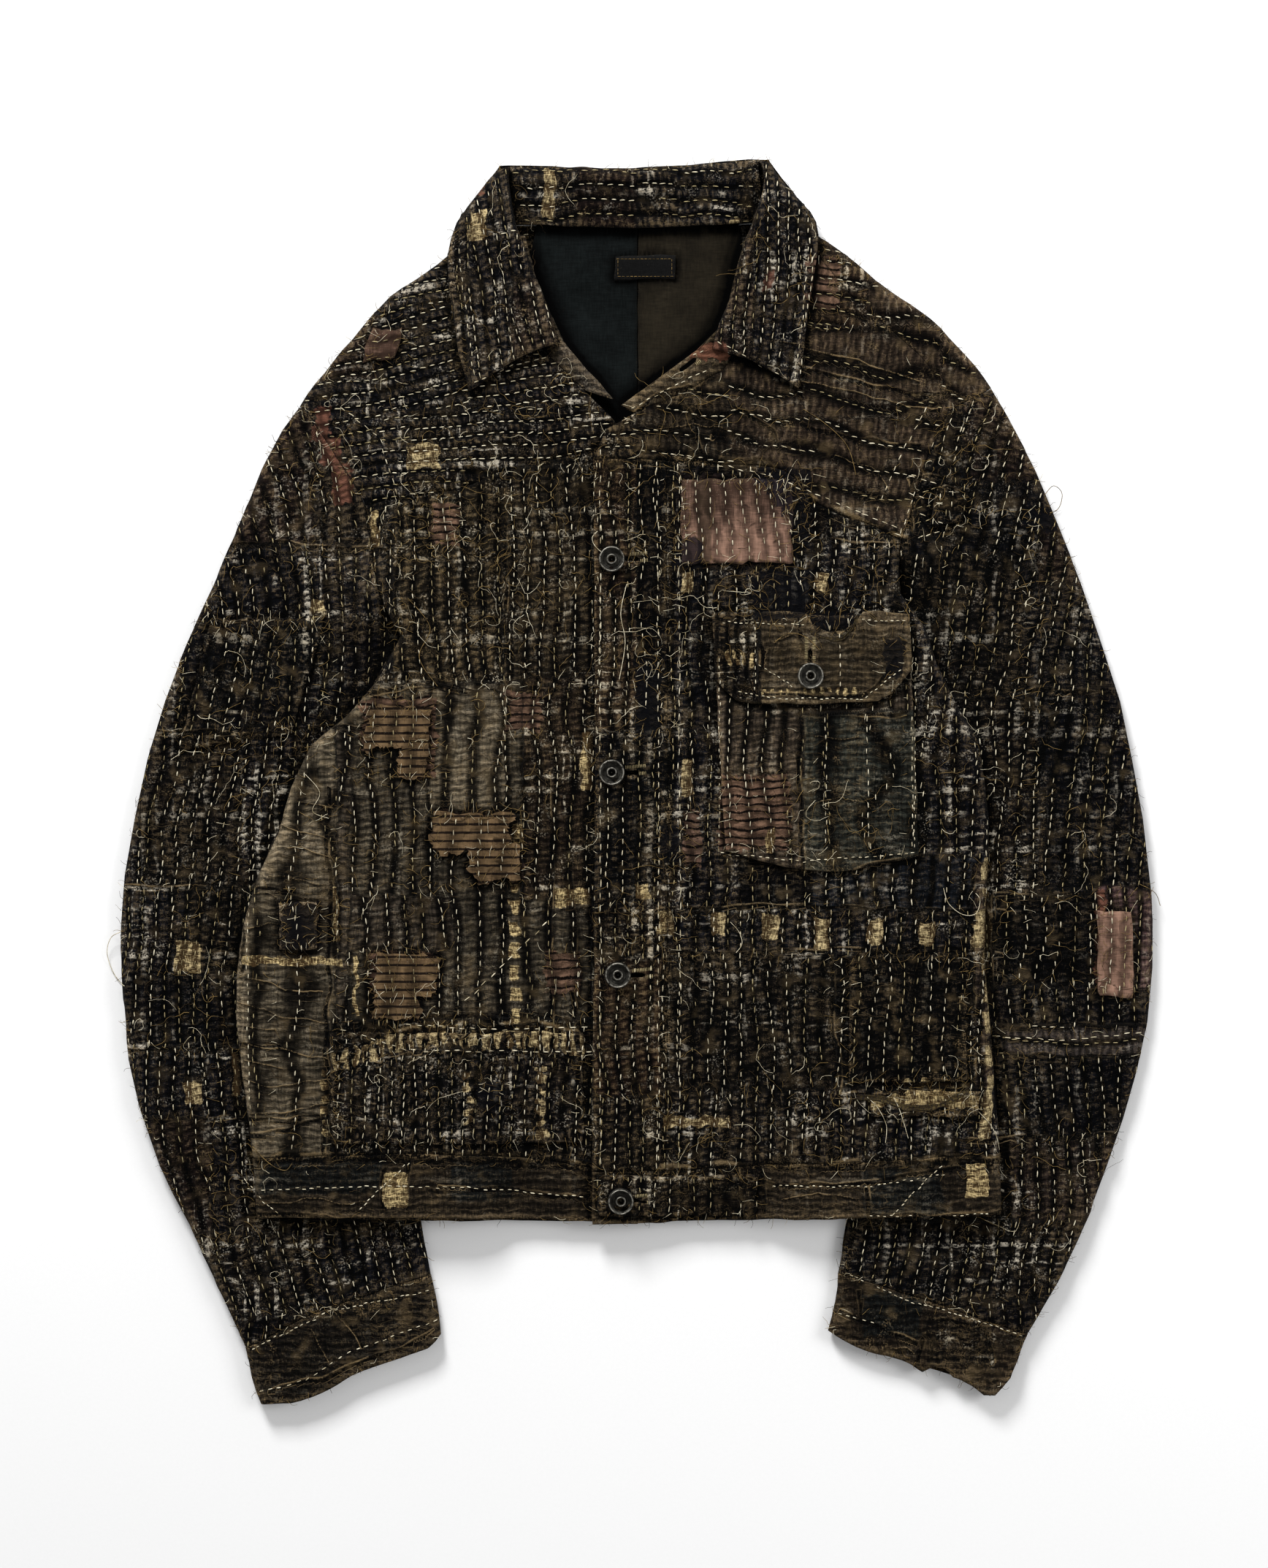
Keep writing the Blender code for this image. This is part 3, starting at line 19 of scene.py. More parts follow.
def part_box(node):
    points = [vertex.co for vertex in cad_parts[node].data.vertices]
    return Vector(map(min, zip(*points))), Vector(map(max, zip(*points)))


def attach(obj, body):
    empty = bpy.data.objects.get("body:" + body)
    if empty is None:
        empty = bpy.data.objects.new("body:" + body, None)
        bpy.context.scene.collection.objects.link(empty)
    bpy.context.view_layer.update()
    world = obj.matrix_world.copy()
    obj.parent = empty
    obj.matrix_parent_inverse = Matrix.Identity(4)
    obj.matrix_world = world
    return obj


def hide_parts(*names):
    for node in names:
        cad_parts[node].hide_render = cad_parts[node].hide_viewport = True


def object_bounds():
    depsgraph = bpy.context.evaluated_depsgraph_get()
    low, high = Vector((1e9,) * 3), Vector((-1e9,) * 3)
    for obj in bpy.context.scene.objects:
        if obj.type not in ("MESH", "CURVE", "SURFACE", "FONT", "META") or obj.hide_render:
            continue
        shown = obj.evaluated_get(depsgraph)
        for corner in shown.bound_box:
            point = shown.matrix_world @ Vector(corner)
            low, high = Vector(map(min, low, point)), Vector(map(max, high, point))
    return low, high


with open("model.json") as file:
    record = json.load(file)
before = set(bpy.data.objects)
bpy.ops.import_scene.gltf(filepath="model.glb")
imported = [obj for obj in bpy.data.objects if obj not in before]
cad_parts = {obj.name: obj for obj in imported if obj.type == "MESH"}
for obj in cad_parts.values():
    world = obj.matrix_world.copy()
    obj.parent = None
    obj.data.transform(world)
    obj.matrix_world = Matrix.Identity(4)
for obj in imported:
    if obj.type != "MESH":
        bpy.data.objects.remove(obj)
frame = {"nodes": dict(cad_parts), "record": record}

cad_box = [list(corner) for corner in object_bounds()]
print("solid pieces", len(frame["nodes"]), "box", cad_box)

# %% [markdown]
# ## Camera, table and light
# The jacket lies on its back on a white table and is seen from straight above. An 85 mm lens far above
# keeps the sleeves from leaning away, as a long lens does. One broad soft light from the upper left
# models the puckers, and an even white sky fills the shadows, so that the dark cloth still shows.

# %% Camera, table and light
scene = bpy.context.scene
scene.view_settings.view_transform = "Standard"
TABLE_TOP = -0.0004
TABLE_EDGE = 3.0


def placed(name, data):
    """A new object in the scene; a mesh is shaded smooth, so that its facets don't show."""
    for face in getattr(data, "polygons", ()):
        face.use_smooth = True
    made = bpy.data.objects.new(name, data)
    scene.collection.objects.link(made)
    return made


def new_mesh(name, corners, faces):
    mesh = bpy.data.meshes.new(name)
    mesh.from_pydata(corners, [], faces)
    return mesh


def make_lamp(name, place, width, watts):
    """A square lamp that faces the middle of the table."""
    data = bpy.data.lights.new(name, "AREA")
    data.size = width
    data.energy = watts
    lamp = placed(name, data)
    lamp.location = place
    lamp.rotation_euler = (-Vector(place)).to_track_quat("-Z", "Y").to_euler()


scene.camera = placed("overhead", bpy.data.cameras.new("overhead"))
scene.camera.location = (-0.002, -0.002, 2.444)
scene.camera.data.lens = 85.0
make_lamp("window", (-0.9, 2.3, 1.45), 0.8, 100.0)
make_lamp("bounce", (1.9, 0.2, 1.5), 1.0, 20.0)
sky = bpy.data.worlds.new("even_sky")
sky.use_nodes = True
sky.node_tree.nodes["Background"].inputs["Color"].default_value = (1, 1, 1, 1)
sky.node_tree.nodes["Background"].inputs["Strength"].default_value = 0.40
scene.world = sky
corners = [(x * TABLE_EDGE, y * TABLE_EDGE, TABLE_TOP) for x, y in ((-1, -1), (1, -1), (1, 1), (-1, 1))]
table = placed("table", new_mesh("table", corners, [(0, 1, 2, 3)]))
print("camera at", tuple(scene.camera.location))

# %% [markdown]
# ## A chart for placing things
# A pattern maker marks cloth on a chart. Here the chart is the photograph's own columns and rows, one
# step being 0.48 mm on the cloth, so a patch can be named by where it is seen. `to_chart` turns metres
# into columns and rows, and `hills` is smooth random height made from a seeded table, so it is the same
# on every run.

# %% Chart and random hills
STEP = 0.48  # mm
MID_COLUMN = 872.27
MID_ROW = 1069.04
WHOLE = (0, 0, 1736, 2146)
TURN = 2 * math.pi
HILL_TABLE = 128


def to_chart(x, y):
    """Column and row of the chart for a place in metres."""
    return MID_COLUMN + x * 1000 / STEP, MID_ROW - y * 1000 / STEP


def metres(column, row):
    return (column - MID_COLUMN) * STEP / 1000, (MID_ROW - row) * STEP / 1000


def hills(x, y, wide, seed):
    """Smooth random hills from -1 to 1, `wide` steps across."""
    heights = np.random.default_rng(seed).uniform(-1, 1, (HILL_TABLE, HILL_TABLE))
    u, v = np.asarray(x) / wide, np.asarray(y) / wide
    i, j = np.floor(u).astype(int), np.floor(v).astype(int)
    a, b = u - i, v - j
    a, b = a * a * (3 - 2 * a), b * b * (3 - 2 * b)
    i, j = i % HILL_TABLE, j % HILL_TABLE
    next_i, next_j = (i + 1) % HILL_TABLE, (j + 1) % HILL_TABLE
    near = heights[i, j] * (1 - a) + heights[next_i, j] * a
    far = heights[i, next_j] * (1 - a) + heights[next_i, next_j] * a
    return near * (1 - b) + far * b


def rise(value, low, high):
    """0 below low, 1 above high and smooth between."""
    t = np.clip((value - low) / (high - low), 0, 1)
    return t * t * (3 - 2 * t)


def colour(code):
    """A dyer's colour code, as the linear values that Blender mixes."""
    channels = [int(code[i:i + 2], 16) / 255 for i in (0, 2, 4)]
    return [c / 12.92 if c <= 0.04045 else ((c + 0.055) / 1.055) ** 2.4 for c in channels]


def segments(line):
    """Start, direction and length of each straight part of a line on the chart."""
    for (x0, y0), (x1, y1) in zip(line, line[1:]):
        far = math.hypot(x1 - x0, y1 - y0)
        yield x0, y0, (x1 - x0) / far, (y1 - y0) / far, far


print("the collar's middle on the chart", [round(v) for v in to_chart(0.0, 0.3)])

# %% [markdown]
# ## The cloths
# Each scrap of cloth has its own ground colour, its own amount of woven check, its own share of worn,
# pale flecks and its own pucker between the stitch rows. They are kept in one small table, so that the
# long list of scraps can call them by name, as a mender picks from a pile.

# %% The cloths: ground colour, check, flecks, pucker in mm
CLOTHS = {
    "ink": ("111215", 0.45, 0.30, 0.6),
    "ink_check": ("161617", 1.0, 0.6, 0.6),
    "coal": ("1a1611", 0.5, 0.4, 0.6),
    "coal_check": ("1b1814", 1.0, 0.75, 0.6),
    "yoke_brown": ("473c2f", 0.2, 0.22, 0.3),
    "slate": ("232627", 0.3, 0.25, 0.35),
    "bark": ("2d2219", 0.4, 0.5, 0.5),
    "bark_check": ("2c231a", 0.9, 0.7, 0.55),
    "umber": ("2a241b", 0.5, 0.6, 0.5),
    "moss": ("4a4135", 0.3, 0.30, 0.25),
    "olive": ("4e4638", 0.25, 0.30, 0.4),
    "fray": ("2a241a", 0.6, 1.0, 0.8),
    "grey": ("70644f", 0.12, 0.12, 0.12),
    "pink": ("5a443a", 0.3, 0.3, 0.3),
    "pocket_slate": ("3a3b33", 0.2, 0.3, 0.3),
    "flap_brown": ("554b38", 0.1, 0.25, 0.12),
    "pocket_brown": ("4f4437", 0.3, 0.35, 0.4),
    "black": ("0f0f11", 0.1, 0.1, 0.3),
    "rose_row": ("5a443a", 0.0, 0.0, 0.3),
    "cuff_brown": ("27241f", 0.05, 0.12, 0.12),
    "cuff_faded": ("383025", 0.05, 0.15, 0.12),
    "band_brown": ("393227", 0.10, 0.15, 0.12),
    "band_slate": ("272a28", 0.10, 0.15, 0.12),
}
print("cloths", len(CLOTHS))

# %% [markdown]
# ## The scraps and their stitch rows
# A scrap reads: left, top, right and bottom on the chart, the cloth, the lean of its stitch rows in
# degrees from upright, and the gap between rows. Later scraps lie over earlier ones. Parts that lie over
# each other in the photograph, such as the collar over the yoke, have lists of their own. A cloth that
# shows no stitching has a gap wider than any real one.

# %% The scraps
WIDEST_GAP = 100
SCRAPS = {
    "sleeve": [
        (0, 0, 870, 2146, "ink", 4, 21), (380, 430, 560, 790, "umber", -12, 22),
        (300, 560, 430, 770, "bark", -16, 22), (280, 745, 560, 860, "ink_check", -6, 21),
        (215, 855, 380, 1010, "ink", 12, 22), (380, 850, 560, 1000, "ink", 4, 21),
        (190, 1000, 330, 1215, "coal", 10, 21), (330, 990, 520, 1215, "ink_check", 6, 21),
        (150, 1215, 260, 1330, "ink_check", 3, 20), (260, 1215, 400, 1330, "coal", 3, 20),
        (150, 1330, 380, 1440, "ink", 0, 20), (150, 1430, 380, 1530, "ink_check", -4, 20),
        (190, 1530, 290, 1690, "bark", -10, 22), (290, 1530, 480, 1690, "ink_check", -8, 21),
        (240, 1690, 430, 1800, "coal_check", -14, 20), (430, 1670, 620, 1790, "ink_check", -16, 20),
        (870, 0, 1736, 2146, "ink", -4, 21), (1230, 500, 1330, 640, "coal", 16, 22),
        (1320, 540, 1450, 700, "bark", 22, 23), (1250, 640, 1300, 740, "black", 70, 22),
        (1290, 660, 1470, 830, "ink", 14, 22), (1420, 700, 1500, 830, "bark", 12, 22),
        (1230, 760, 1400, 950, "coal", 10, 21), (1400, 800, 1540, 960, "ink", 9, 21),
        (1290, 950, 1420, 1080, "coal", 4, 21), (1420, 940, 1580, 1215, "ink", 8, 22),
        (1300, 1080, 1430, 1230, "coal_check", 3, 21), (1360, 1225, 1515, 1345, "black", 0, 23),
        (1500, 1215, 1600, 1360, "pink", 2, 22), (1340, 1350, 1600, 1415, "ink", 0, 21),
        (1330, 1405, 1600, 1445, "moss", 90, 23), (1330, 1445, 1600, 1560, "ink", -4, 22),
        (1330, 1555, 1600, 1680, "bark_check", -2, 22), (1140, 1670, 1330, 1800, "ink", 14, 20),
        (1300, 1670, 1600, 1780, "coal_check", 10, 20),
    ],
    "body": [
        (*WHOLE, "coal", 0, 21), (380, 330, 870, 640, "ink_check", 84, 21),
        (480, 560, 640, 680, "coal_check", 86, 22), (640, 480, 830, 650, "coal_check", 62, 22),
        (455, 600, 560, 960, "ink_check", 2, 21), (540, 660, 700, 950, "fray", -3, 23),
        (690, 640, 815, 940, "umber", -2, 21), (455, 935, 815, 1400, "olive", 0, 30),
        (480, 1225, 620, 1300, "moss", -4, 29), (590, 945, 690, 1120, "grey", 0, 31),
        (715, 930, 815, 1230, "bark_check", 0, 23), (420, 1000, 480, 1400, "moss", 4, 26),
        (300, 990, 462, 1600, "grey", 1, 54), (455, 1395, 815, 1450, "coal", 0, 20),
        (455, 1435, 815, 1590, "coal_check", 3, 17), (812, 600, 935, 820, "bark", 0, 21),
        (812, 820, 935, 1000, "bark_check", 0, 21), (870, 620, 935, 1010, "black", 0, 22),
        (812, 1000, 935, 1240, "ink", 0, 22), (812, 1240, 935, 1310, "coal_check", 0, 21),
        (812, 1310, 935, 1500, "bark", 0, 23), (812, 1500, 935, 1700, "coal_check", 0, 20),
        (905, 620, 1010, 1010, "ink", 0, 21), (985, 740, 1290, 850, "ink_check", 0, 22),
        (1240, 700, 1400, 1180, "ink_check", 2, 22), (905, 1000, 1110, 1250, "ink_check", 0, 23),
        (1010, 1090, 1130, 1250, "black", 0, 22), (1110, 1170, 1380, 1260, "slate", 2, 23),
        (905, 1245, 1380, 1310, "ink_check", 0, 22), (905, 1305, 1150, 1500, "coal", -1, 22),
        (1140, 1305, 1340, 1500, "black", 3, 21), (1330, 1180, 1400, 1600, "bark_check", 0, 22),
        (905, 1490, 1150, 1600, "coal_check", 2, 21), (1140, 1490, 1400, 1600, "ink_check", -2, 21),
        (928, 650, 1090, 776, "rose_row", -3, 20),
    ],
    "yoke": [
        (0, 0, 870, 2146, "ink_check", 84, 16), (440, 430, 560, 520, "bark", 80, 16),
        (520, 420, 640, 600, "ink_check", 76, 15), (560, 560, 870, 680, "coal_check", 86, 16),
        (870, 0, 1736, 2146, "yoke_brown", 101, 40), (1090, 350, 1190, 445, "bark_check", 99, 24),
        (1100, 445, 1290, 570, "yoke_brown", 103, 44), (870, 520, 1000, 640, "band_brown", 96, 31),
    ],
    "collar": [
        (*WHOLE, "coal_check", 0, 15), (560, 240, 660, 560, "coal_check", -4, 15),
        (640, 240, 780, 560, "ink_check", -10, 16), (700, 380, 800, 560, "bark_check", -16, 16),
        (950, 200, 1040, 560, "bark_check", 6, 15), (1030, 200, 1140, 560, "ink_check", 3, 15),
    ],
    "band": [
        (*WHOLE, "coal_check", 90, 20), (700, 200, 760, 340, "ink_check", 90, 20),
        (790, 200, 870, 340, "bark", 90, 20), (930, 200, 1010, 340, "ink_check", 90, 20),
    ],
    "plain": [
        (*WHOLE, "flap_brown", 90, 400), (960, 800, 1038, 960, "coal_check", 2, 15),
    ],
    "cuff": [
        (*WHOLE, "cuff_brown", 90, 400), (1000, 1740, 1736, 2146, "cuff_faded", 90, 400),
        (1180, 1770, 1262, 1830, "band_slate", 90, 400), (1268, 1800, 1362, 1872, "coal_check", 90, 400),
    ],
    "waist": [
        (*WHOLE, "band_brown", 90, 400), (330, 1570, 524, 1632, "band_slate", 90, 400),
        (620, 1570, 700, 1640, "band_slate", 90, 400), (905, 1570, 1000, 1700, "coal_check", 0, 17),
        (1000, 1570, 1046, 1700, "cuff_faded", 90, 400), (1180, 1600, 1290, 1700, "band_slate", 90, 400),
    ],
    "pocket": [
        (*WHOLE, "pocket_brown", 0, 27), (1097, 975, 1280, 1200, "pocket_slate", 0, 60),
    ],
    "lining": [(*WHOLE, "slate", 90, 4000)],
    "label": [(*WHOLE, "black", 90, 4000)],
}
print("scraps", sum(len(rows) for rows in SCRAPS.values()))

# %% [markdown]
# ## Inserts: torn windows, worn blocks and black mends
# Where a mend has torn, the brown striped cloth below shows through a ragged window. Small blocks of
# cream and ochre are where the top cloth has worn to the weft. Each list holds boxes on the chart. The
# signed distance to a box, kept on the skin's points, is all that a shader needs to draw a ragged edge.

# %% Inserts
STRIPED = [
    (495, 955, 600, 1022), (551, 1015, 600, 1066), (593, 1110, 699, 1166), (653, 1155, 716, 1204),
    (506, 1302, 600, 1357), (513, 1350, 576, 1392), (693, 948, 742, 1000), (744, 1302, 792, 1358),
    (985, 1062, 1082, 1164), (1105, 350, 1150, 422), (590, 690, 628, 745), (935, 1110, 960, 1185),
]
WORN_BLOCKS = [
    (425, 820, 445, 848), (555, 608, 602, 642), (240, 1290, 276, 1332), (252, 1480, 276, 1512),
    (1335, 1245, 1356, 1292), (700, 1130, 716, 1166), (1115, 1270, 1135, 1302), (932, 780, 948, 812),
    (1116, 782, 1134, 812), (932, 1040, 950, 1090), (870, 1210, 890, 1232), (760, 1215, 812, 1240),
    (1340, 1490, 1358, 1560), (905, 1528, 1000, 1544), (1185, 1498, 1350, 1514), (318, 1440, 330, 1500),
    (505, 700, 520, 750), (640, 290, 668, 330), (1000, 300, 1016, 330), (742, 230, 760, 300),
    (1235, 1478, 1330, 1500), (795, 1000, 812, 1080), (458, 1212, 465, 1290), (485, 1305, 492, 1392),
    (335, 1308, 470, 1322), (525, 1602, 560, 1652), (1320, 1590, 1352, 1640), (1050, 1130, 1062, 1170),
]
BLACK_MENDS = [
    (870, 905, 908, 1010), (905, 1130, 935, 1180), (1408, 695, 1450, 726), (386, 1234, 440, 1298),
    (1209, 876, 1236, 930), (655, 1480, 690, 1520), (1030, 780, 1110, 850), (1108, 838, 1170, 862),
    (1036, 640, 1110, 662), (1046, 660, 1110, 676), (1058, 674, 1110, 690), (1068, 688, 1110, 704),
    (1078, 702, 1110, 722), (1085, 720, 1110, 742), (922, 738, 962, 780),
]

# Rows of small blocks: the line they follow, the step from block to block, and a block's width and height
BLOCK_ROWS = [
    ([(462, 1450), (551, 1424), (597, 1414), (670, 1422), (736, 1418), (805, 1434)], 13, 8, 30),
    ([(912, 1262), (1124, 1272), (1370, 1282)], 72, 22, 34), ([(640, 1470), (645, 1540)], 16, 13, 11),
    ([(740, 1462), (744, 1580)], 15, 15, 11), ([(448, 1470), (446, 1560)], 16, 15, 12),
    ([(995, 900), (1035, 905)], 12, 7, 22), ([(1350, 1190), (1352, 1500)], 42, 12, 28),
    ([(1046, 946), (1180, 948)], 11, 6, 10), ([(704, 1180), (706, 1400)], 30, 14, 20),
]
for line, step, wide, high in BLOCK_ROWS:
    for (x0, y0), (x1, y1) in zip(line, line[1:]):
        far = math.hypot(x1 - x0, y1 - y0)
        for t in np.arange(0, far, step) / far:
            x, y = x0 + (x1 - x0) * t, y0 + (y1 - y0) * t
            WORN_BLOCKS.append((x - wide / 2, y - high / 2, x + wide / 2, y + high / 2))

PINK_STRIPS = [
    (428, 556, 452, 604), (440, 598, 464, 640), (455, 634, 482, 690), (945, 470, 1000, 492),
    (1500, 1220, 1512, 1350), (640, 248, 664, 268), (1046, 372, 1060, 400),
]

# The garment's own edges, which lie thicker and get a wider painted shadow
DEEP_EDGES = [
    [(842, 630), (957, 630), (1040, 632), (1080, 655), (1123, 692), (1180, 716), (1240, 738)],
    [(340, 1582), (564, 1580), (663, 1583), (762, 1590), (805, 1600)],
    [(905, 1602), (1065, 1590), (1230, 1586), (1368, 1580)],
    [(805, 1412), (736, 1396), (670, 1400), (597, 1392), (551, 1402), (462, 1432)],
]

# Folded hems: the left-hand side of each line, walked from its first point, is the crest, painted lit and
# partly worn; the right-hand side gets a painted shadow
HEMS = [
    [(1049, 1618), (1137, 1620), (1175, 1618), (1208, 1612), (1285, 1599), (1357, 1590)],
    [(1046, 1590), (1046, 1665)], [(1186, 1624), (1189, 1668)], [(1012, 1592), (1014, 1662)],
    [(1192, 1660), (1280, 1660), (1368, 1656)], [(905, 1628), (960, 1622), (1040, 1624)],
    [(561, 1590), (561, 1660)], [(524, 1655), (522, 1600)], [(600, 1620), (700, 1626), (805, 1641)],
    [(345, 1656), (520, 1667), (640, 1671), (780, 1674)], [(1097, 976), (1099, 1190)],
    [(1240, 979), (1180, 981), (1097, 977)], [(1163, 1188), (1205, 1180), (1255, 1170)],
    [(1038, 960), (1039, 846)], [(1096, 900), (1094, 846)],
    [(1012, 938), (1050, 950), (1180, 952), (1205, 930), (1228, 896)],
    [(1132, 846), (1150, 872), (1172, 858)],
    [(368, 1903), (430, 1888), (500, 1861), (560, 1837), (594, 1821)], [(1176, 1808), (1177, 1768)],
    [(1148, 1797), (1197, 1813), (1213, 1824), (1256, 1839)], [(1265, 1835), (1262, 1872)],
    [(1290, 1806), (1340, 1812), (1355, 1822), (1362, 1870)],
    [(452, 1080), (456, 1300), (452, 1460), (458, 1575)],
    [(462, 1466), (551, 1444), (597, 1436), (670, 1444), (736, 1440), (805, 1456)],
    [(755, 1060), (757, 1200), (752, 1300), (756, 1400)], [(785, 1195), (788, 1400)],
    [(346, 1552), (445, 1532)], [(445, 1532), (446, 1575)],
    [(842, 628), (854, 577), (893, 545), (944, 526)], [(928, 538), (957, 590), (963, 628)],
    [(976, 602), (982, 570), (1021, 558), (1059, 590), (1066, 615)],
    [(1091, 500), (1200, 526), (1290, 540)], [(1096, 578), (1170, 600), (1260, 610)],
    [(640, 950), (560, 940), (470, 960)], [(690, 650), (696, 780), (688, 940)],
    [(905, 1306), (1110, 1300), (1370, 1306)], [(1140, 1310), (1142, 1400), (1150, 1495)],
    [(1150, 1496), (1330, 1492)], [(1330, 1200), (1334, 1500)], [(905, 1245), (1100, 1238), (1370, 1248)],
    [(985, 742), (1100, 738), (1240, 748)], [(300, 562), (420, 540)], [(262, 745), (400, 742), (540, 756)],
    [(216, 860), (380, 850)], [(190, 1000), (330, 1004), (500, 992)],
    [(150, 1215), (260, 1212), (400, 1216)], [(330, 1330), (330, 1215)], [(150, 1436), (380, 1430)],
    [(190, 1532), (470, 1528)], [(1292, 950), (1420, 944), (1570, 948)],
    [(1360, 1345), (1360, 1225), (1512, 1222)], [(1335, 1405), (1580, 1404)], [(1335, 1445), (1580, 1444)],
    [(1250, 735), (1248, 650), (1300, 652)], [(1330, 1556), (1560, 1552)],
]

# Pulled wrinkles in the smooth cloths, drawn the same way: a painted lit, partly worn crest and a painted
# shadow beside it
WRINKLES = [
    [(326, 1370), (386, 1390), (452, 1397)], [(330, 1430), (386, 1436), (452, 1450)],
    [(340, 1340), (400, 1352), (440, 1356)], [(400, 1245), (455, 1258)],
    [(335, 1480), (380, 1486), (450, 1478)], [(345, 1524), (400, 1520), (450, 1512)],
    [(380, 1130), (450, 1150)], [(396, 1160), (456, 1172)], [(370, 1200), (440, 1212)],
    [(410, 1098), (456, 1106)], [(423, 1817), (436, 1840), (448, 1864)],
    [(497, 1845), (480, 1820), (455, 1795)], [(1100, 520), (1180, 540), (1280, 560)],
    [(1060, 470), (1150, 488), (1260, 520)], [(350, 1648), (420, 1640), (500, 1646)],
    [(1070, 1640), (1120, 1634), (1170, 1642)], [(1110, 1010), (1150, 1016), (1172, 1010)],
    [(1110, 1100), (1150, 1092), (1176, 1098)], [(1060, 880), (1090, 872)],
    [(1220, 1850), (1240, 1846), (1256, 1856)], [(900, 590), (950, 582), (1000, 590)],
    [(1140, 620), (1190, 640), (1220, 668)], [(340, 1268), (372, 1262), (392, 1268)],
    [(346, 1222), (380, 1226)], [(334, 1404), (380, 1408)], [(336, 1454), (392, 1462)],
]


def beside(x, y, lines, reach=12.0):
    """Signed steps from the nearest line, and reach where a point lies beside none."""
    best = np.full(len(x), reach)
    for line in lines:
        for (x0, y0), (x1, y1) in zip(line, line[1:]):
            dx, dy = x1 - x0, y1 - y0
            far = math.hypot(dx, dy)
            t = ((x - x0) * dx + (y - y0) * dy) / (far * far)
            side = ((x - x0) * dy - (y - y0) * dx) / far
            nearer = (t > -0.03) & (t < 1.03) & (np.abs(side) < np.abs(best))
            best[nearer] = side[nearer]
    return best


def nearness(x, y, boxes, ragged, seed, reach=30.0):
    """How far points lie inside the nearest box, in steps; below 0 outside."""
    x = x + hills(x, y, 14, seed) * ragged
    y = y + hills(x, y, 11, seed + 1) * ragged
    best = np.full(len(x), -reach)
    for left, top, right, bottom in boxes:
        inside = np.minimum(np.minimum(x - left, right - x), np.minimum(y - top, bottom - y))
        best = np.maximum(best, inside)
    return np.clip(best, -reach, reach)


print("inserts", len(STRIPED), "blocks", len(WORN_BLOCKS), "black mends", len(BLACK_MENDS))

# %% [markdown]
# ## Creases
# Layered cotton doesn't fall in long smooth folds: it breaks into short soft ridges where the body
# twists over the sleeves and at the elbows. A row reads: the ridge's line on the chart, its half width
# in steps and its height in mm, below 0 for a trough. Each one fades out at its ends.

# %% Creases
CREASES = [
    ([(740, 398), (790, 384), (838, 376)], 8, 0.9), ([(712, 330), (760, 352), (800, 350)], 9, 0.8),
    ([(900, 408), (960, 392), (1010, 388)], 7, 0.7), ([(876, 450), (920, 416), (980, 402)], 7, 0.6),
    ([(780, 450), (830, 470), (866, 500)], 9, -0.9), ([(930, 330), (980, 345), (1010, 340)], 7, 0.6),
    ([(520, 640), (560, 780), (540, 900)], 18, 1.8), ([(700, 600), (660, 720), (640, 850)], 20, -1.2),
    ([(590, 700), (640, 620), (740, 560)], 16, 1.6), ([(480, 1000), (430, 1120), (400, 1260)], 22, 2.0),
    ([(330, 1365), (400, 1380), (468, 1370)], 7, 0.9), ([(326, 1405), (400, 1418), (468, 1402)], 7, 0.9),
    ([(330, 1440), (395, 1452), (460, 1446)], 6, 0.7), ([(345, 1475), (410, 1490), (460, 1480)], 6, 0.7),
    ([(345, 1180), (400, 1215), (440, 1225)], 8, 0.8), ([(350, 1260), (400, 1290), (450, 1300)], 7, 0.7),
    ([(1010, 560), (1070, 640), (1120, 720)], 18, 1.8), ([(1130, 640), (1180, 740), (1230, 790)], 16, 1.5),
    ([(960, 520), (1010, 560), (1090, 580)], 13, 1.6), ([(930, 560), (990, 600), (1040, 680)], 14, -1.1),
    ([(1300, 900), (1330, 1040), (1350, 1180)], 20, 1.8),
    ([(1350, 1180), (1340, 1340), (1360, 1480)], 18, 1.2), ([(880, 650), (872, 900), (880, 1180)], 10, 0.8),
    ([(780, 700), (770, 900), (778, 1100)], 14, -0.8), ([(960, 1290), (970, 1400), (960, 1500)], 16, 0.9),
    ([(1200, 1300), (1215, 1400), (1200, 1500)], 20, 1.1), ([(400, 760), (470, 790), (540, 830)], 11, 1.3),
    ([(290, 1000), (380, 1020), (470, 1060)], 12, 1.4), ([(215, 1110), (300, 1140), (400, 1190)], 13, 1.2),
    ([(170, 1240), (250, 1262), (340, 1290)], 14, 1.6), ([(185, 1400), (260, 1420), (330, 1460)], 14, -1.3),
    ([(220, 1560), (300, 1590), (380, 1620)], 13, 1.2), ([(290, 1700), (380, 1690), (470, 1700)], 12, 1.4),
    ([(330, 1750), (430, 1745), (540, 1752)], 10, 1.0), ([(1240, 800), (1330, 830), (1420, 870)], 12, 1.4),
    ([(1290, 980), (1400, 960), (1500, 930)], 12, 1.2),
    ([(1340, 1110), (1440, 1100), (1560, 1130)], 13, 1.2),
    ([(1380, 1230), (1460, 1222), (1570, 1225)], 12, 1.6),
    ([(1370, 1430), (1460, 1440), (1560, 1430)], 12, 1.0),
    ([(1330, 1600), (1420, 1640), (1540, 1620)], 13, 1.2),
    ([(1180, 1720), (1280, 1740), (1380, 1730)], 12, 1.3),
    ([(1190, 1770), (1290, 1780), (1400, 1760)], 9, 1.0), ([(640, 300), (650, 380), (700, 460)], 14, 1.1),
    ([(1060, 260), (1070, 350), (1050, 450)], 13, 1.0), ([(560, 1500), (640, 1490), (740, 1510)], 12, 1.2),
    ([(480, 1480), (540, 1540), (600, 1560)], 10, 1.0),
]


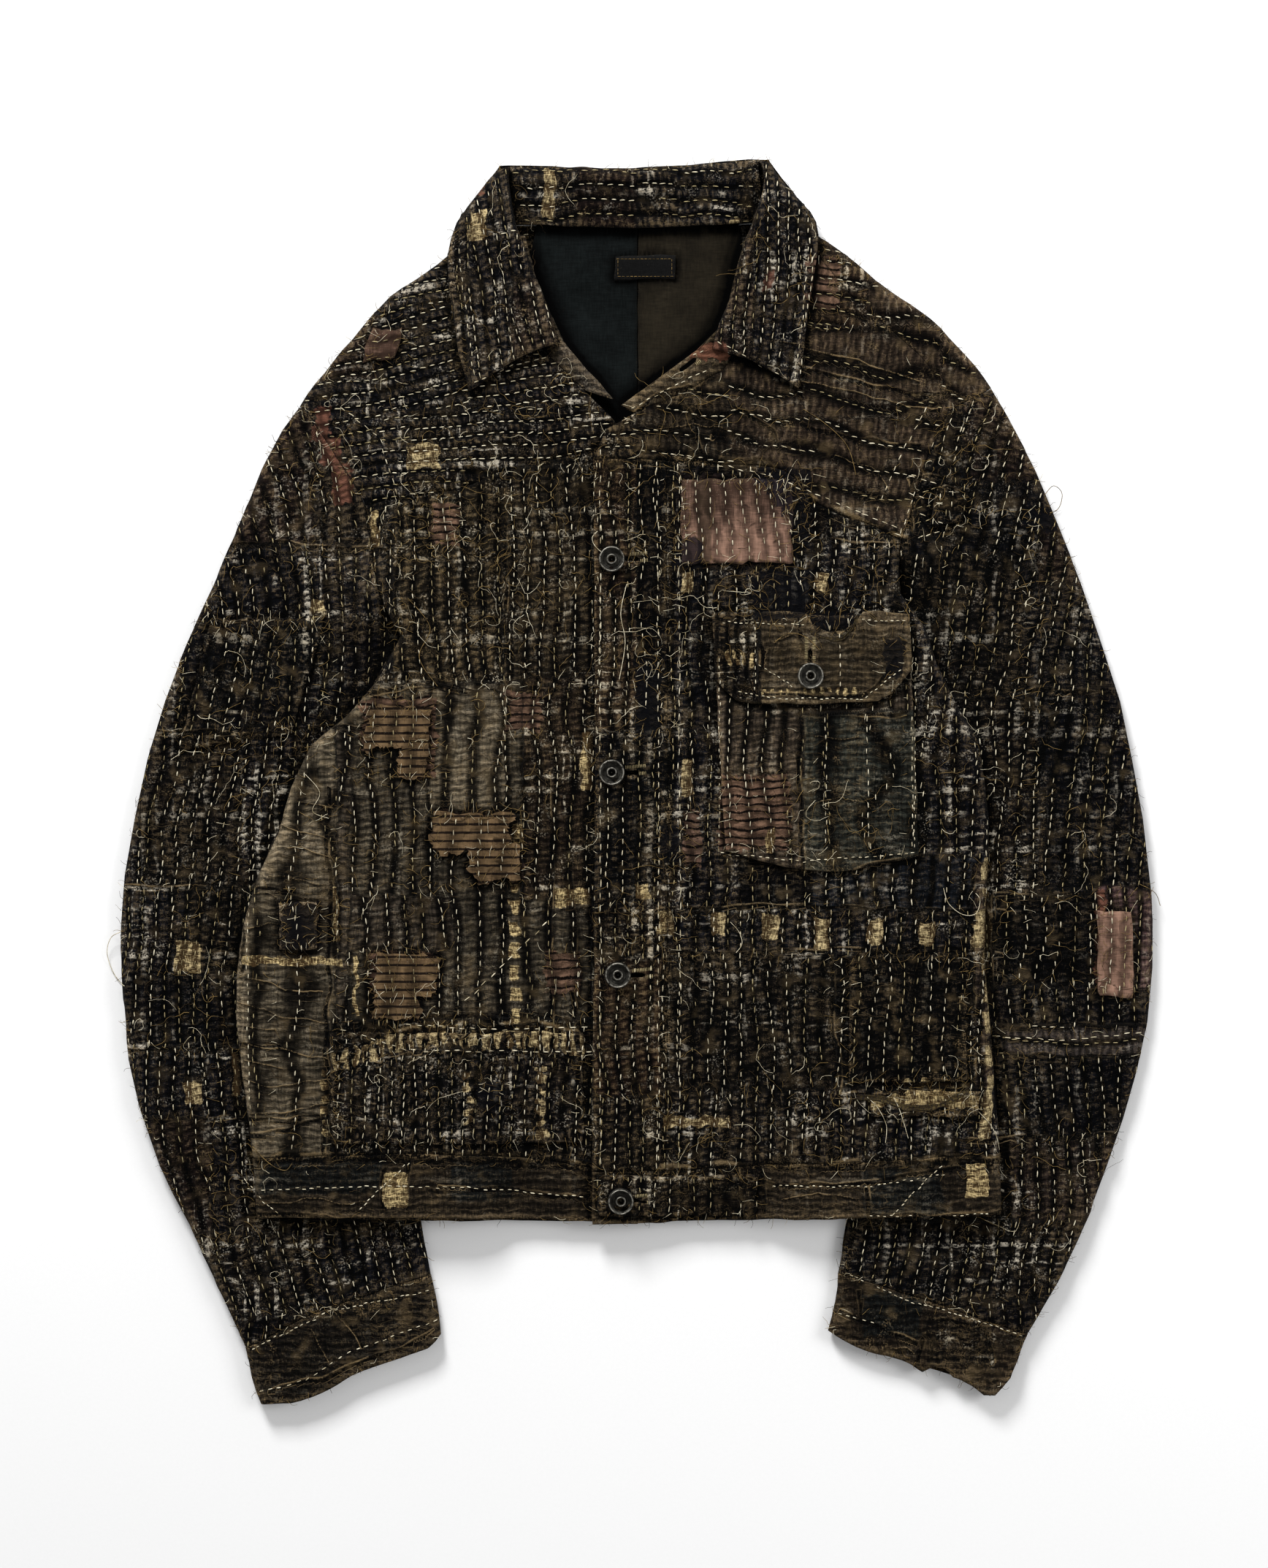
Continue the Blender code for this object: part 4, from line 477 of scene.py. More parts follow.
def crease_height(x, y):
    total = np.zeros(len(x))
    for line, wide, high in CREASES:
        along = np.zeros(len(x))
        best = np.full(len(x), 1e9)
        for i, ((x0, y0), (x1, y1)) in enumerate(zip(line, line[1:])):
            dx, dy = x1 - x0, y1 - y0
            t = np.clip(((x - x0) * dx + (y - y0) * dy) / (dx * dx + dy * dy), 0, 1)
            far = np.hypot(x - x0 - t * dx, y - y0 - t * dy)
            nearer = far < best
            best = np.where(nearer, far, best)
            along = np.where(nearer, (i + t) / (len(line) - 1), along)
        total += high * np.exp(-(best / wide) ** 2) * np.sin(np.pi * np.clip(along, 0.03, 0.97)) ** 0.7
    return total


print("creases", len(CREASES))

# %% [markdown]
# ## Rows of running stitch as numbers
# Stitch rows can be thought of as contour lines: a number that grows by 1 from each row to the next.
# The cloth dips where the number is whole, because thread pulls the layers together there, and swells
# half way between. The same number later says where to lay the stitches, so they lie in their own dips.

# %% Row numbers, pucker and ground colour of every point
def row_number(x, y, lean, gap, seed):
    turn = math.radians(lean)
    wander = hills(x, y, 75, seed) * 0.42 + hills(x, y, 26, seed + 7) * 0.10
    return (x * math.cos(turn) + y * math.sin(turn)) / gap + wander


def which_scrap(x, y, scraps):
    """The number of the last scrap over each point, with an uneven, hand-cut edge."""
    u = x + hills(x, y, 22, 5) * 3.5
    v = y + hills(x, y, 19, 6) * 3.5
    found = np.zeros(len(x), int)
    for i, (left, top, right, bottom, *_) in enumerate(scraps):
        found[(u > left) & (u < right) & (v > top) & (v < bottom)] = i
    return found


def fields(points, group):
    """What the chart says at each point: lift in mm, and the notes that the shaders read."""
    x, y = to_chart(points[:, 0], points[:, 1])
    scraps = SCRAPS[group]
    owner = which_scrap(x, y, scraps)
    lift, row, along = np.zeros(len(x)), np.full(len(x), 0.5), y * STEP
    ground, check, fleck = np.zeros((len(x), 3)), np.zeros(len(x)), np.zeros(len(x))
    for i, (*_, cloth, lean, gap) in enumerate(scraps):
        mine = owner == i
        if not mine.any():
            continue
        code, checked, worn, high = CLOTHS[cloth]
        dye = np.array(colour(code))
        ground[mine] = dye * 0.8 + np.mean(dye) * 0.2  # a fifth of the colour has faded to grey
        check[mine] = checked
        fleck[mine] = worn
        if gap < WIDEST_GAP:
            row[mine] = row_number(x[mine], y[mine], lean, gap, 40 + i)
            turn = math.radians(lean)
            along[mine] = (y[mine] * math.cos(turn) - x[mine] * math.sin(turn)) * STEP
            swell = 0.5 - 0.5 * np.cos(TURN * row[mine])
            tug = 0.7 + 0.6 * hills(x[mine], y[mine], 12, 3)
            lift[mine] = high * 1.6 * swell * tug
    rough = 0.35 + 0.9 * fleck
    lift += (hills(x, y, 13, 71) * 0.42 + hills(x, y, 7, 72) * 0.34) * rough + hills(x, y, 34, 73) * 0.6
    notes = {"row": row, "along": along, "ground": ground, "check": check, "fleck": fleck}
    for name, boxes, ragged, seed in (("striped", STRIPED, 5, 20), ("worn", WORN_BLOCKS, 4, 24),
                                      ("mend", BLACK_MENDS, 4, 28), ("pink", PINK_STRIPS, 4, 32)):
        notes[name] = nearness(x, y, boxes, ragged, seed)
    u, v = x + hills(x, y, 30, 36) * 4, y + hills(x, y, 26, 37) * 4
    fine, deep = beside(u, v, HEMS), beside(u, v, DEEP_EDGES) * 0.45
    notes["hem"] = np.where(np.abs(deep) < np.abs(fine), deep, fine) * STEP
    notes["wrinkle"] = beside(u, v, WRINKLES) * STEP
    return lift, notes


print("row number at the middle", round(float(row_number(870.0, 1070.0, 0, 16, 40)), 2))

# %% [markdown]
# ## Skins
# Real cloth is a thin shell, and the solids already are thin shells, only faceted. A skin is a finer
# copy of a solid's mesh: long edges of its upper side are halved until the points are close enough to
# carry a pucker, the facets are smoothed away, and then the points are lifted. Working on a copy keeps
# the outline, the overlaps and the thickness that the pattern gave.

# %% Which group each piece of cloth belongs to
TOP_PIECES = {
    "right_sleeve_upper": "sleeve", "left_sleeve_upper": "sleeve", "right_front": "body",
    "left_front": "body", "placket": "body", "right_front_yoke": "yoke", "left_front_yoke": "yoke",
    "back_yoke_wrap": "yoke", "right_waistband": "waist", "left_waistband": "waist",
    "right_cuff_upper": "cuff", "left_cuff_upper": "cuff", "leaf_right": "collar", "leaf_left": "collar",
    "leaf_back": "band", "stand_back": "band", "stand_right": "plain", "stand_left": "plain",
    "chest_pocket": "pocket", "pocket_flap": "plain", "lining_right": "lining", "lining_left": "lining",
    "neck_label": "label",
}
UNDER_PIECES = {
    "back_panel": "body", "back_yoke": "yoke", "back_waistband": "waist", "right_sleeve_under": "sleeve",
    "left_sleeve_under": "sleeve", "right_cuff_under": "cuff", "left_cuff_under": "cuff",
}
PATCH_NODES = sorted(name for name in frame["nodes"] if name.startswith("patch_"))
PATCH_GROUPS = {name: "sleeve" if "sleeve" in name else "body" for name in PATCH_NODES}
print("top pieces", len(TOP_PIECES), "under pieces", len(UNDER_PIECES), "patches", len(PATCH_NODES))

# %% Refine a solid's upper side
FINE = 0.0029
COARSE = 0.009
FACES_UP = 0.2  # a normal's least z on the side of a piece that may move
TORN_PATCHES = ("patch_striped_high", "patch_striped_mid", "patch_striped_low")


def tear_away(face):
    """True where a striped patch has been torn off, outside its boxes on the chart."""
    middle = np.array([face.calc_center_median()])
    x, y = to_chart(middle[:, 0], middle[:, 1])
    return nearness(x, y, STRIPED, 9, 20)[0] < -1.5


def refined(node, longest, torn_away=None, passes=5):
    """A finer copy of a solid's mesh, its upper side smoothed, and which points may move."""
    work = bmesh.new()
    work.from_mesh(frame["nodes"][node].data)
    bmesh.ops.remove_doubles(work, verts=work.verts, dist=1e-6)
    for _ in range(passes):
        work.normal_update()
        long_edges = [e for e in work.edges if e.calc_length() > longest
                      and any(f.normal.z > 0.3 for f in e.link_faces)]
        if not long_edges:
            break
        bmesh.ops.subdivide_edges(work, edges=long_edges, cuts=1, use_grid_fill=True)
        bmesh.ops.triangulate(work, faces=[f for f in work.faces if len(f.verts) > 3])
    if torn_away:
        gone = [f for f in work.faces if f.normal.z < FACES_UP or torn_away(f)]
        bmesh.ops.delete(work, geom=gone, context="FACES")
    work.normal_update()
    inner = [v for v in work.verts if all(f.normal.z > FACES_UP for f in v.link_faces)]
    for _ in range(14):
        bmesh.ops.smooth_vert(work, verts=inner, factor=0.6, use_axis_z=True)
    free = np.zeros(len(work.verts), bool)
    work.verts.ensure_lookup_table()
    work.verts.index_update()
    free[[v.index for v in inner]] = True
    edge = [v.index for v in work.verts
            if not free[v.index] and any(f.normal.z > FACES_UP for f in v.link_faces)]
    mesh = bpy.data.meshes.new(node + "_skin")
    work.to_mesh(mesh)
    work.free()
    return mesh, free, edge


def points_of(mesh):
    flat = np.zeros(len(mesh.vertices) * 3, np.float32)
    mesh.vertices.foreach_get("co", flat)
    return flat.reshape(-1, 3).astype(float)


def move_points(mesh, points):
    mesh.vertices.foreach_set("co", points.astype(np.float32).ravel())
    mesh.update()


def note(mesh, name, values):
    """Keeps one number, or one colour, for each point of a mesh, where a shader can read it."""
    kind, key = "FLOAT", "value"
    if values.ndim == 2:
        kind, key = "FLOAT_COLOR", "color"
        values = np.concatenate([values, np.ones((len(values), 1))], 1)
    kept = mesh.attributes.new(name, kind, "POINT")
    kept.data.foreach_set(key, values.astype(np.float32).ravel())


print("fine step", FINE, "coarse step", COARSE)

# %% [markdown]
# ## Laying the skins
# Three things lift a point: the pucker of its scrap, the creases, and a fine crumple. All of them fade
# near the piece's own edge, where a seam holds it. Pieces under a patch or the pocket are then pressed
# down to just below it, from the top of the pile to the bottom, as layers press each other in life.

# %% Lay the skins
SEAM_REACH = 0.006
WIDEST_RIM = 25  # mm
GRAIN = 0.0006  # how far the weave wanders sideways
RELIEF = {"lining": 0.45, "label": 0.45, "plain": 0.6}
skins = {}


def edge_distance(points, edge):
    """Metres from each point to the piece's edge."""
    tree = KDTree(max(len(edge), 1))
    for i in edge:
        tree.insert(points[i], i)
    tree.balance()
    return np.array([tree.find(p)[2] if edge else 1.0 for p in points])


def lay_skin(node, group, longest, relief, torn=0.0):
    mesh, free, edge = refined(node, longest, tear_away if node in TORN_PATCHES else None)
    points = points_of(mesh)
    x, y = to_chart(points[:, 0], points[:, 1])
    lift, notes = fields(points, group)
    rim = edge_distance(points, edge)
    held = rise(rim, 0.0, SEAM_REACH)
    height = relief * (lift * (0.25 + 0.75 * held) + crease_height(x, y) * held)
    points[:, 2] += np.where(free, height * 0.001, 0)
    for axis in (0, 1):
        points[:, axis] += hills(x, y, 21, 90 + axis) * GRAIN + hills(x, y, 8, 92 + axis) * torn
    move_points(mesh, points)
    note(mesh, "rim", np.minimum(rim * 1000, WIDEST_RIM))
    for name, values in notes.items():
        note(mesh, name, values)
    skins[node] = (placed(node + "_cloth", mesh), free)


for node, group in TOP_PIECES.items():
    lay_skin(node, group, FINE * (1.3 if group in ("lining", "label") else 1), RELIEF.get(group, 1.0))
for node, group in UNDER_PIECES.items():
    lay_skin(node, group, COARSE, 0.5)
for node in PATCH_NODES:
    lay_skin(node, PATCH_GROUPS[node], FINE, 1.0, 0.0018)
print("skins", len(skins), "triangles", sum(len(s.data.polygons) for s, _ in skins.values()))


# %% Press each layer under what lies on it
UP, BELOW = Vector((0, 0, 1)), Vector((0, 0, -1))
SETTLE = 0.00018  # the gap left between two layers
LAID_ON = PATCH_NODES + ["chest_pocket", "pocket_flap"]


def press_under(nodes, tops):
    """Lowers the free points of some skins to just under the undersides of others."""
    pressed = 0
    trees = []
    for top in tops:
        mesh = skins[top][0].data
        points = points_of(mesh)
        trees.append((points.min(0), points.max(0),
                      BVHTree.FromPolygons(points.tolist(), [tuple(f.vertices) for f in mesh.polygons])))
    for node in nodes:
        skin, free = skins[node]
        points = points_of(skin.data)
        for low, high, tree in trees:
            near = free & (points[:, 0] > low[0]) & (points[:, 0] < high[0])
            near &= (points[:, 1] > low[1]) & (points[:, 1] < high[1])
            for i in np.flatnonzero(near):
                start = Vector((points[i, 0], points[i, 1], points[i, 2] - 0.004))
                hit, normal, _, _ = tree.ray_cast(start, UP, 0.02)
                if hit is not None and normal.z < 0.1 and hit.z - SETTLE < points[i, 2]:
                    points[i, 2] = hit.z - SETTLE
                    pressed += 1
        move_points(skin.data, points)
    return pressed


UNDER_LAYERS = [n for n in TOP_PIECES if n not in LAID_ON]
print("points pressed", press_under(["chest_pocket"], ["pocket_flap"]), press_under(UNDER_LAYERS, LAID_ON))

# %% [markdown]
# ## Cloth seen from above
# Several steps need to know which cloth lies on top at a place. They drop a ray on one search tree made
# of the skins, which is far faster than looking at each skin in turn.

# %% Build a tree of some skins
def cloth_from_above(nodes):
    """One tree of all the skins, and which skin each face belongs to."""
    corners, faces, owners = [], [], []
    for node in nodes:
        mesh = skins[node][0].data
        base = len(corners)
        corners += points_of(mesh).tolist()
        faces += [tuple(base + v for v in f.vertices) for f in mesh.polygons]
        owners += [node] * len(mesh.polygons)
    return BVHTree.FromPolygons(corners, faces), owners


print("cloth from above is ready")

# %% [markdown]
# ## The collar's corners
# Where a collar folds over at the shoulder its cloth is too thick for a point. The solid's corner is a
# few millimetres sharper than the photograph's, so the skin's highest points are drawn down to a round.

# %% Round the collar's corners
for leaf, limit in (("leaf_right", 0.4005), ("leaf_left", 0.4055)):
    mesh = skins[leaf][0].data
    points = points_of(mesh)
    high = points[:, 1] > limit
    points[high, 1] = limit + (points[high, 1] - limit) * 0.3
    move_points(mesh, points)
    print(leaf, "points drawn down", int(high.sum()))

# %% [markdown]
# ## The lining reaches the stand
# The lining is caught in the seam of the collar stand. Its solids stop a little short of that seam, so
# their skins' upper rows are drawn up under the stand, resting on the inside of the back yoke.

# %% Draw the lining up to the stand
DRAWN_FROM = 0.340  # y above which the lining is stretched
INNER_SIDE = 0.012  # the back yoke's inner side lies lower than this
yoke_tree = cloth_from_above(["back_yoke"])[0]
for node in ("lining_right", "lining_left"):
    mesh = skins[node][0].data
    points = points_of(mesh)
    for i in np.flatnonzero(points[:, 1] > DRAWN_FROM):
        points[i, 1] += (points[i, 1] - DRAWN_FROM) * 0.9
        found = yoke_tree.ray_cast(Vector((points[i, 0], points[i, 1], 0.05)), BELOW)[0]
        if found is not None and found.z < INNER_SIDE:
            points[i, 2] = max(points[i, 2], found.z + 0.0008)
    move_points(mesh, points)
    print(node, "top edge at", round(float(points[:, 1].max()), 4))

# %% [markdown]
# ## Dips and crests
# Shade is painted where cloth is low, and light and wear where it is high. A height map of the whole
# jacket, taken by dropping a ray every 1.2 mm, is blurred; where the blurred map is above a point, the point
# is in a dip or under an edge and gets painted shade, and where it is below, the point is a crest and gets
# painted light and wear. The shaders read both, together with a painted shadow beside other pieces' edges.

# %% Height map of the laid jacket
CELL = 0.0012
MARGIN = 0.03
ABOVE_ALL = 0.2
cloth_tree, face_owner = cloth_from_above(list(skins))
MAP_LOW = (cad_box[0][0] - MARGIN, cad_box[0][1] - MARGIN)
COLUMNS = int((cad_box[1][0] + MARGIN - MAP_LOW[0]) / CELL)
ROWS = int((cad_box[1][1] + MARGIN - MAP_LOW[1]) / CELL)
heights = np.zeros((COLUMNS, ROWS))
owners = np.full((COLUMNS, ROWS), -1)
number_of = {node: k for k, node in enumerate(skins)}


def map_place(i, j):
    """Metres of a cell of the map."""
    return MAP_LOW[0] + i * CELL, MAP_LOW[1] + j * CELL


def land(x, y):
    """Height, normal and skin of the cloth under a point, or None off the cloth."""
    hit, normal, face, _ = cloth_tree.ray_cast(Vector((x, y, ABOVE_ALL)), BELOW)
    return None if hit is None else (hit.z, normal, face_owner[face])


for i in range(COLUMNS):
    for j in range(ROWS):
        found = land(*map_place(i, j))
        if found is not None:
            heights[i, j] = found[0]
            owners[i, j] = number_of[found[2]]


def blurred(values, reach):
    """The mean over a square of 2 * reach + 1 cells."""
    wide = 2 * reach + 1
    for axis in (0, 1):
        pads = [(reach + 1, reach) if a == axis else (0, 0) for a in (0, 1)]
        total = np.cumsum(np.pad(values, pads, "edge"), axis)
        values = (np.take(total, range(wide, total.shape[axis]), axis)
                  - np.take(total, range(0, total.shape[axis] - wide), axis)) / wide
    return values


def shadow_beside_edges(reach=4):
    """The painted shadow on each cell beside another piece's edge: most where that piece is higher."""
    dark = np.zeros_like(heights)
    for di in range(-reach, reach + 1):
        for dj in range(-reach, reach + 1):
            far = math.hypot(di, dj)
            if not 0 < far <= reach:
                continue
            step = (np.roll(heights, (di, dj), (0, 1)) - heights) * 1000
            other = np.roll(owners, (di, dj), (0, 1))
            seam = (other != owners) & (other >= 0) & (owners >= 0)
            shadow = np.where(seam, np.clip(0.3 + step * 0.5, 0, 1), 0)
            dark = np.maximum(dark, shadow * (1 - (far - 1) / reach))
    return dark


near_mean, far_mean, edge_shadow_map = blurred(heights, 3), blurred(heights, 9), shadow_beside_edges()
for name, (skin, free) in skins.items():
    points = points_of(skin.data)
    i, j = (np.clip(((points[:, axis] - MAP_LOW[axis]) / CELL).round().astype(int), 0, cells - 1)
            for axis, cells in ((0, COLUMNS), (1, ROWS)))
    # painted shade in the dips, painted light and wear on the crests, painted shadow beside higher edges
    dip = (near_mean[i, j] - points[:, 2]) * 1000
    deep = (far_mean[i, j] - points[:, 2]) * 1000
    note(skin.data, "cavity", np.clip(0.42 + dip * 0.75, 0, 1) * 0.65 + np.clip(deep * 0.42, 0, 1) * 0.75)
    note(skin.data, "ridge", np.clip(-dip * 1.4, 0, 1))
    on_top = owners[i, j] == number_of[name]
    note(skin.data, "overhang", np.where(on_top, edge_shadow_map[i, j], 0))
print("height map", heights.shape, "highest mm", round(heights.max() * 1000, 1))

# %% [markdown]
# ## Shader arithmetic
# A material is a sum of small rules: threads here, a stain there. Written as boxes and wires it soon
# becomes unreadable, so a socket is wrapped in a class that knows +, - and *. Each use of a sign adds a
# Math node. Every other node comes from `node`, which sets the node up first and then joins it.

# %% Shader arithmetic
class Reading:
    """The value of one shader socket."""

    def __init__(self, recipe, socket):
        self.recipe = recipe
        self.socket = socket

    def math(self, operation, *values):
        return self.recipe.node("ShaderNodeMath", {"operation": operation}, dict(enumerate(values)))

    def sine(self):
        return self.math("SINE", self)

    def size(self):
        return self.math("ABSOLUTE", self)

    def __add__(self, other):
        return self.math("ADD", self, other)

    def __sub__(self, other):
        return self.math("SUBTRACT", self, other)

    def __mul__(self, other):
        return self.math("MULTIPLY", self, other)

    def __rsub__(self, other):
        return self.math("SUBTRACT", other, self)

    __radd__ = __add__
    __rmul__ = __mul__


class Recipe:
    """One material, written down step by step."""

    def __init__(self, name):
        self.material = bpy.data.materials.new(name)
        self.material.use_nodes = True
        self.tree = self.material.node_tree
        self.shader = self.tree.nodes["Principled BSDF"]

    def node(self, kind, settings=None, inputs=None, out=0):
        made = self.tree.nodes.new(kind)
        for key, value in (settings or {}).items():
            setattr(made, key, value)
        for key, value in (inputs or {}).items():
            self.join(made.inputs[key], value)
        return Reading(self, made.outputs[out])

    def join(self, socket, value):
        if isinstance(value, Reading):
            self.tree.links.new(value.socket, socket)
        elif socket.type == "RGBA":
            socket.default_value = (*value[:3], 1.0)
        else:
            socket.default_value = value

    def mix(self, first, second, factor, blend="MIX"):
        """Between two colours."""
        settings = {"data_type": "RGBA", "blend_type": blend}
        return self.node("ShaderNodeMix", settings, {0: factor, 6: first, 7: second}, 2)

    def shade(self, tint, strength):
        """A colour made lighter or darker."""
        return self.node("ShaderNodeVectorMath", {"operation": "SCALE"}, {0: tint, "Scale": strength})

    def times(self, vector, other):
        """Two vectors multiplied, channel by channel; a place so stretched gives streaks."""
        return self.node("ShaderNodeVectorMath", {"operation": "MULTIPLY"}, {0: vector, 1: other})

    def noise(self, place, fine, detail=2.0, distortion=0.0, out=0):
        inputs = {"Vector": place, "Scale": fine, "Detail": detail, "Distortion": distortion}
        return self.node("ShaderNodeTexNoise", None, inputs, out)

    def bands(self, value, fine, detail):
        """Noise along one line only."""
        inputs = {"W": value, "Scale": fine, "Detail": detail}
        return self.node("ShaderNodeTexNoise", {"noise_dimensions": "1D"}, inputs)

    def ramp(self, value, low, high):
        """0 below low, 1 above high and smooth between."""
        inputs = {0: value, 1: low, 2: high}
        return self.node("ShaderNodeMapRange", {"interpolation_type": "SMOOTHSTEP"}, inputs)

    def line(self, value, low, high):
        """1 where a value is near 0, and 0 where its size is above high."""
        return 1.0 - self.ramp(value.size(), low, high)

    def swell(self, row):
        """0 on a stitch row and 1 half way to the next."""
        return 0.5 - (row * TURN).math("COSINE", row * TURN) * 0.5

    def noted(self, name, out=2):
        """A number kept on the mesh's points; out 0 gives a colour."""
        return self.node("ShaderNodeAttribute", {"attribute_name": name}, None, out)

    def millimetres(self):
        return self.shade(self.node("ShaderNodeTexCoord", None, None, 3), 1000.0)

    def parts(self, vector):
        whole = {0: vector}
        return [self.node("ShaderNodeSeparateXYZ", None, whole, i) for i in (0, 1, 2)]

    def deepened(self, tint, amount, gain):
        """Darks made darker and lights lighter, as age does to cotton."""
        return self.times(self.node("ShaderNodeGamma", None, {0: tint, 1: amount}), gain)

    def finish(self, tint, rough, height, depth, sheen=0.015):
        """Joins colour, roughness and bump to the shader; sheen is the same all over, so it is set."""
        bump = self.node("ShaderNodeBump", None, {"Strength": 1.0, "Distance": depth, "Height": height})
        for name, value in (("Base Color", tint), ("Roughness", rough), ("Sheen Weight", sheen),
                            ("Sheen Roughness", 0.6), ("Specular IOR Level", 0.02), ("Normal", bump)):
            self.join(self.shader.inputs[name], value)
        return self.material


print("shader arithmetic ready")

# %% [markdown]
# ## Worn boro cloth
# Close up, the cloth is threads; further off it is a check of paler bands; further still it is fade and
# stain. The recipe builds those three scales in turn, then wears them: pale flecks on the crests that
# rub, painted shade in the dips and beside higher edges, painted light on the swells and crests, ochre
# and cream where an edge has frayed, and the ragged inserts. It reads the ground colour from the skin, so
# one recipe serves every scrap, with small changes for each bolt.

# %% The boro recipe
OCHRE = colour("7f6e51")
CREAM = colour("c6bba2")


def boro(name, tint, light=1.0, wear=1.0, cast=(1.75, 1.82, 2.08)):
    """Worn, quilted cotton; cast is the colour that its lights lean to."""
    r = Recipe(name)
    place = r.millimetres()
    drift = r.noise(place, 0.06, 1.0, out=1)
    inputs = {0: drift, 1: (7.0, 7.0, 7.0), 2: place}
    shifted = r.node("ShaderNodeVectorMath", {"operation": "MULTIPLY_ADD"}, inputs)
    x, y, _ = r.parts(shifted)
    rim, cavity, ridge = r.noted("rim"), r.noted("cavity"), r.noted("ridge")
    check, fleck = r.noted("check"), r.noted("fleck")
    ground = r.noted("ground", 0)
    # quilting: swells between the rows, crossed by short wrinkles that the stitches pull
    row, along = r.noted("row"), r.noted("along")
    swell = r.swell(row)
    wrinkle = (along * 1.3 + r.noise(place, 0.13) * 10.0 + row * 1.7).sine() * 0.5 + 0.5
    pucker = r.ramp(swell, 0.0, 0.7) * (0.35 + wrinkle * 0.65)
    # creases: wavy lines, mostly across, where a stretched noise crosses its middle value
    fold = r.noise(r.times(shifted, (0.075, 0.19, 0.1)), 1.0, 3.0, 0.7)
    crack = r.line(fold - 0.5, 0.0, 0.035) * (1.0 - fleck * 0.7)
    # woven stripes both ways, and a few pale lines that come and go
    warp = r.bands(x, 0.45, 3.0)
    weft = r.bands(y + 400.0, 0.45, 3.0)
    up_line = r.ramp(r.bands(x + 90.0, 0.15, 2.0), 0.57, 0.62)
    over_line = r.ramp(r.bands(y + 230.0, 0.13, 2.0), 0.57, 0.62)
    broken = r.ramp(r.noise(place, 0.04), 0.49, 0.60)
    lines = (up_line * (0.3 + wrinkle * 0.7) + over_line * (0.3 + swell * 0.7)) * check * broken
    # threads: short streaks that run up and across
    slub_up = r.noise(r.times(shifted, (1.6, 0.22, 1.0)), 0.9)
    slub_over = r.noise(r.times(shifted, (0.22, 1.6, 1.0)), 0.9)
    threads = r.ramp(slub_up, 0.45, 0.75) + r.ramp(slub_over, 0.45, 0.75)
    weave = (x * 5.2).sine() * (y * 5.2).sine()
    grain = r.noise(place, 0.8, 3.0)
    fade = r.noise(place, 0.022, 3.0)
    # brightness: woven tone and fade, times painted shade in the dips and painted light on the swells and
    # crests
    tone = r.ramp(warp, 0.35, 0.65) * 0.5 + r.ramp(weft, 0.35, 0.65) * 0.5
    level = (0.25 + tone * (0.5 + check * 0.9) + threads * 0.3) * (0.08 + pucker * 1.15 + ridge * 0.35)
    level = level * (1.3 - cavity * 1.2) * (0.3 + fade * 1.3)
    # painted shadows beside higher edges, under hems and beside wrinkles; the hem and wrinkle crests get
    # painted highlights
    overhang, hem = r.noted("overhang"), r.noted("hem") + (grain - 0.5) * 1.2
    hem_shadow = r.line(hem + 1.1, 0.4, 1.8)
    hem_lit = r.line(hem - 0.6, 0.2, 1.0)
    pulled = r.noted("wrinkle") + (r.noise(place, 0.12) - 0.5) * 2.5
    wrinkle_shadow = r.line(pulled + 0.9, 0.2, 1.3)
    pulled_lit = r.line(pulled - 0.3, 0.1, 0.7)
    level = level * (1.0 - overhang * 0.85) * (1.0 - hem_shadow * 0.92) * (1.0 - wrinkle_shadow * 0.6)
    body = r.mix(r.shade(ground, level * light), tint, 1.0, "MULTIPLY")
    # fibres: thin curling lines
    curl = r.noise(place, 0.36, 2.0, 1.3)
    hair = r.line(curl - 0.5, 0.004, 0.024) * r.ramp(r.noise(place, 0.11), 0.46, 0.62)
    body = r.mix(body, OCHRE, hair * (0.02 + fleck * 0.8) * wear * (1.0 - overhang))
    # crests and creases rub to ochre; lines and clumps of tufts are cream
    crest = threads * 0.3 + pucker * 0.45 + ridge * 0.25 + fade * 0.5 + grain * 0.3
    rubbed = r.ramp(crest, 0.88, 1.3) * wear
    body = r.mix(body, OCHRE, rubbed * (0.25 + fleck * 0.35))
    body = r.mix(body, OCHRE, crack * r.ramp(fade, 0.48, 0.68) * 0.4 * wear)
    blotch = r.ramp(r.noise(place, 0.075, 3.0) + hem_lit * 0.12, 0.54, 0.72) * (1.0 - fleck * 0.8)
    body = r.mix(body, OCHRE, blotch * 0.32 * wear * (1.0 - overhang))
    # ochre along the hem and wrinkle crests: partly wear, partly painted highlight
    hem_highlight_and_wear = hem_lit * r.ramp(broken * 0.5 + grain * 0.6 + fade * 0.3, 0.55, 0.9)
    body = r.mix(body, OCHRE, hem_highlight_and_wear * 0.7 * wear)
    body = r.mix(body, OCHRE, pulled_lit * r.ramp(grain + broken * 0.3, 0.4, 0.7) * 0.8)
    tuft = r.ramp(grain * 1.1 + pucker * 0.3 + threads * 0.15, 0.62, 0.88) * lines
    body = r.mix(body, CREAM, tuft.math("MINIMUM", tuft, 1.0) * 0.62)
    clump = r.ramp(r.noise(place, 0.07, 3.0), 0.52, 0.68)
    speck = r.ramp(grain + pucker * 0.08, 0.58, 0.68) * clump * fleck * wear
    body = r.mix(body, CREAM, speck * 0.55)
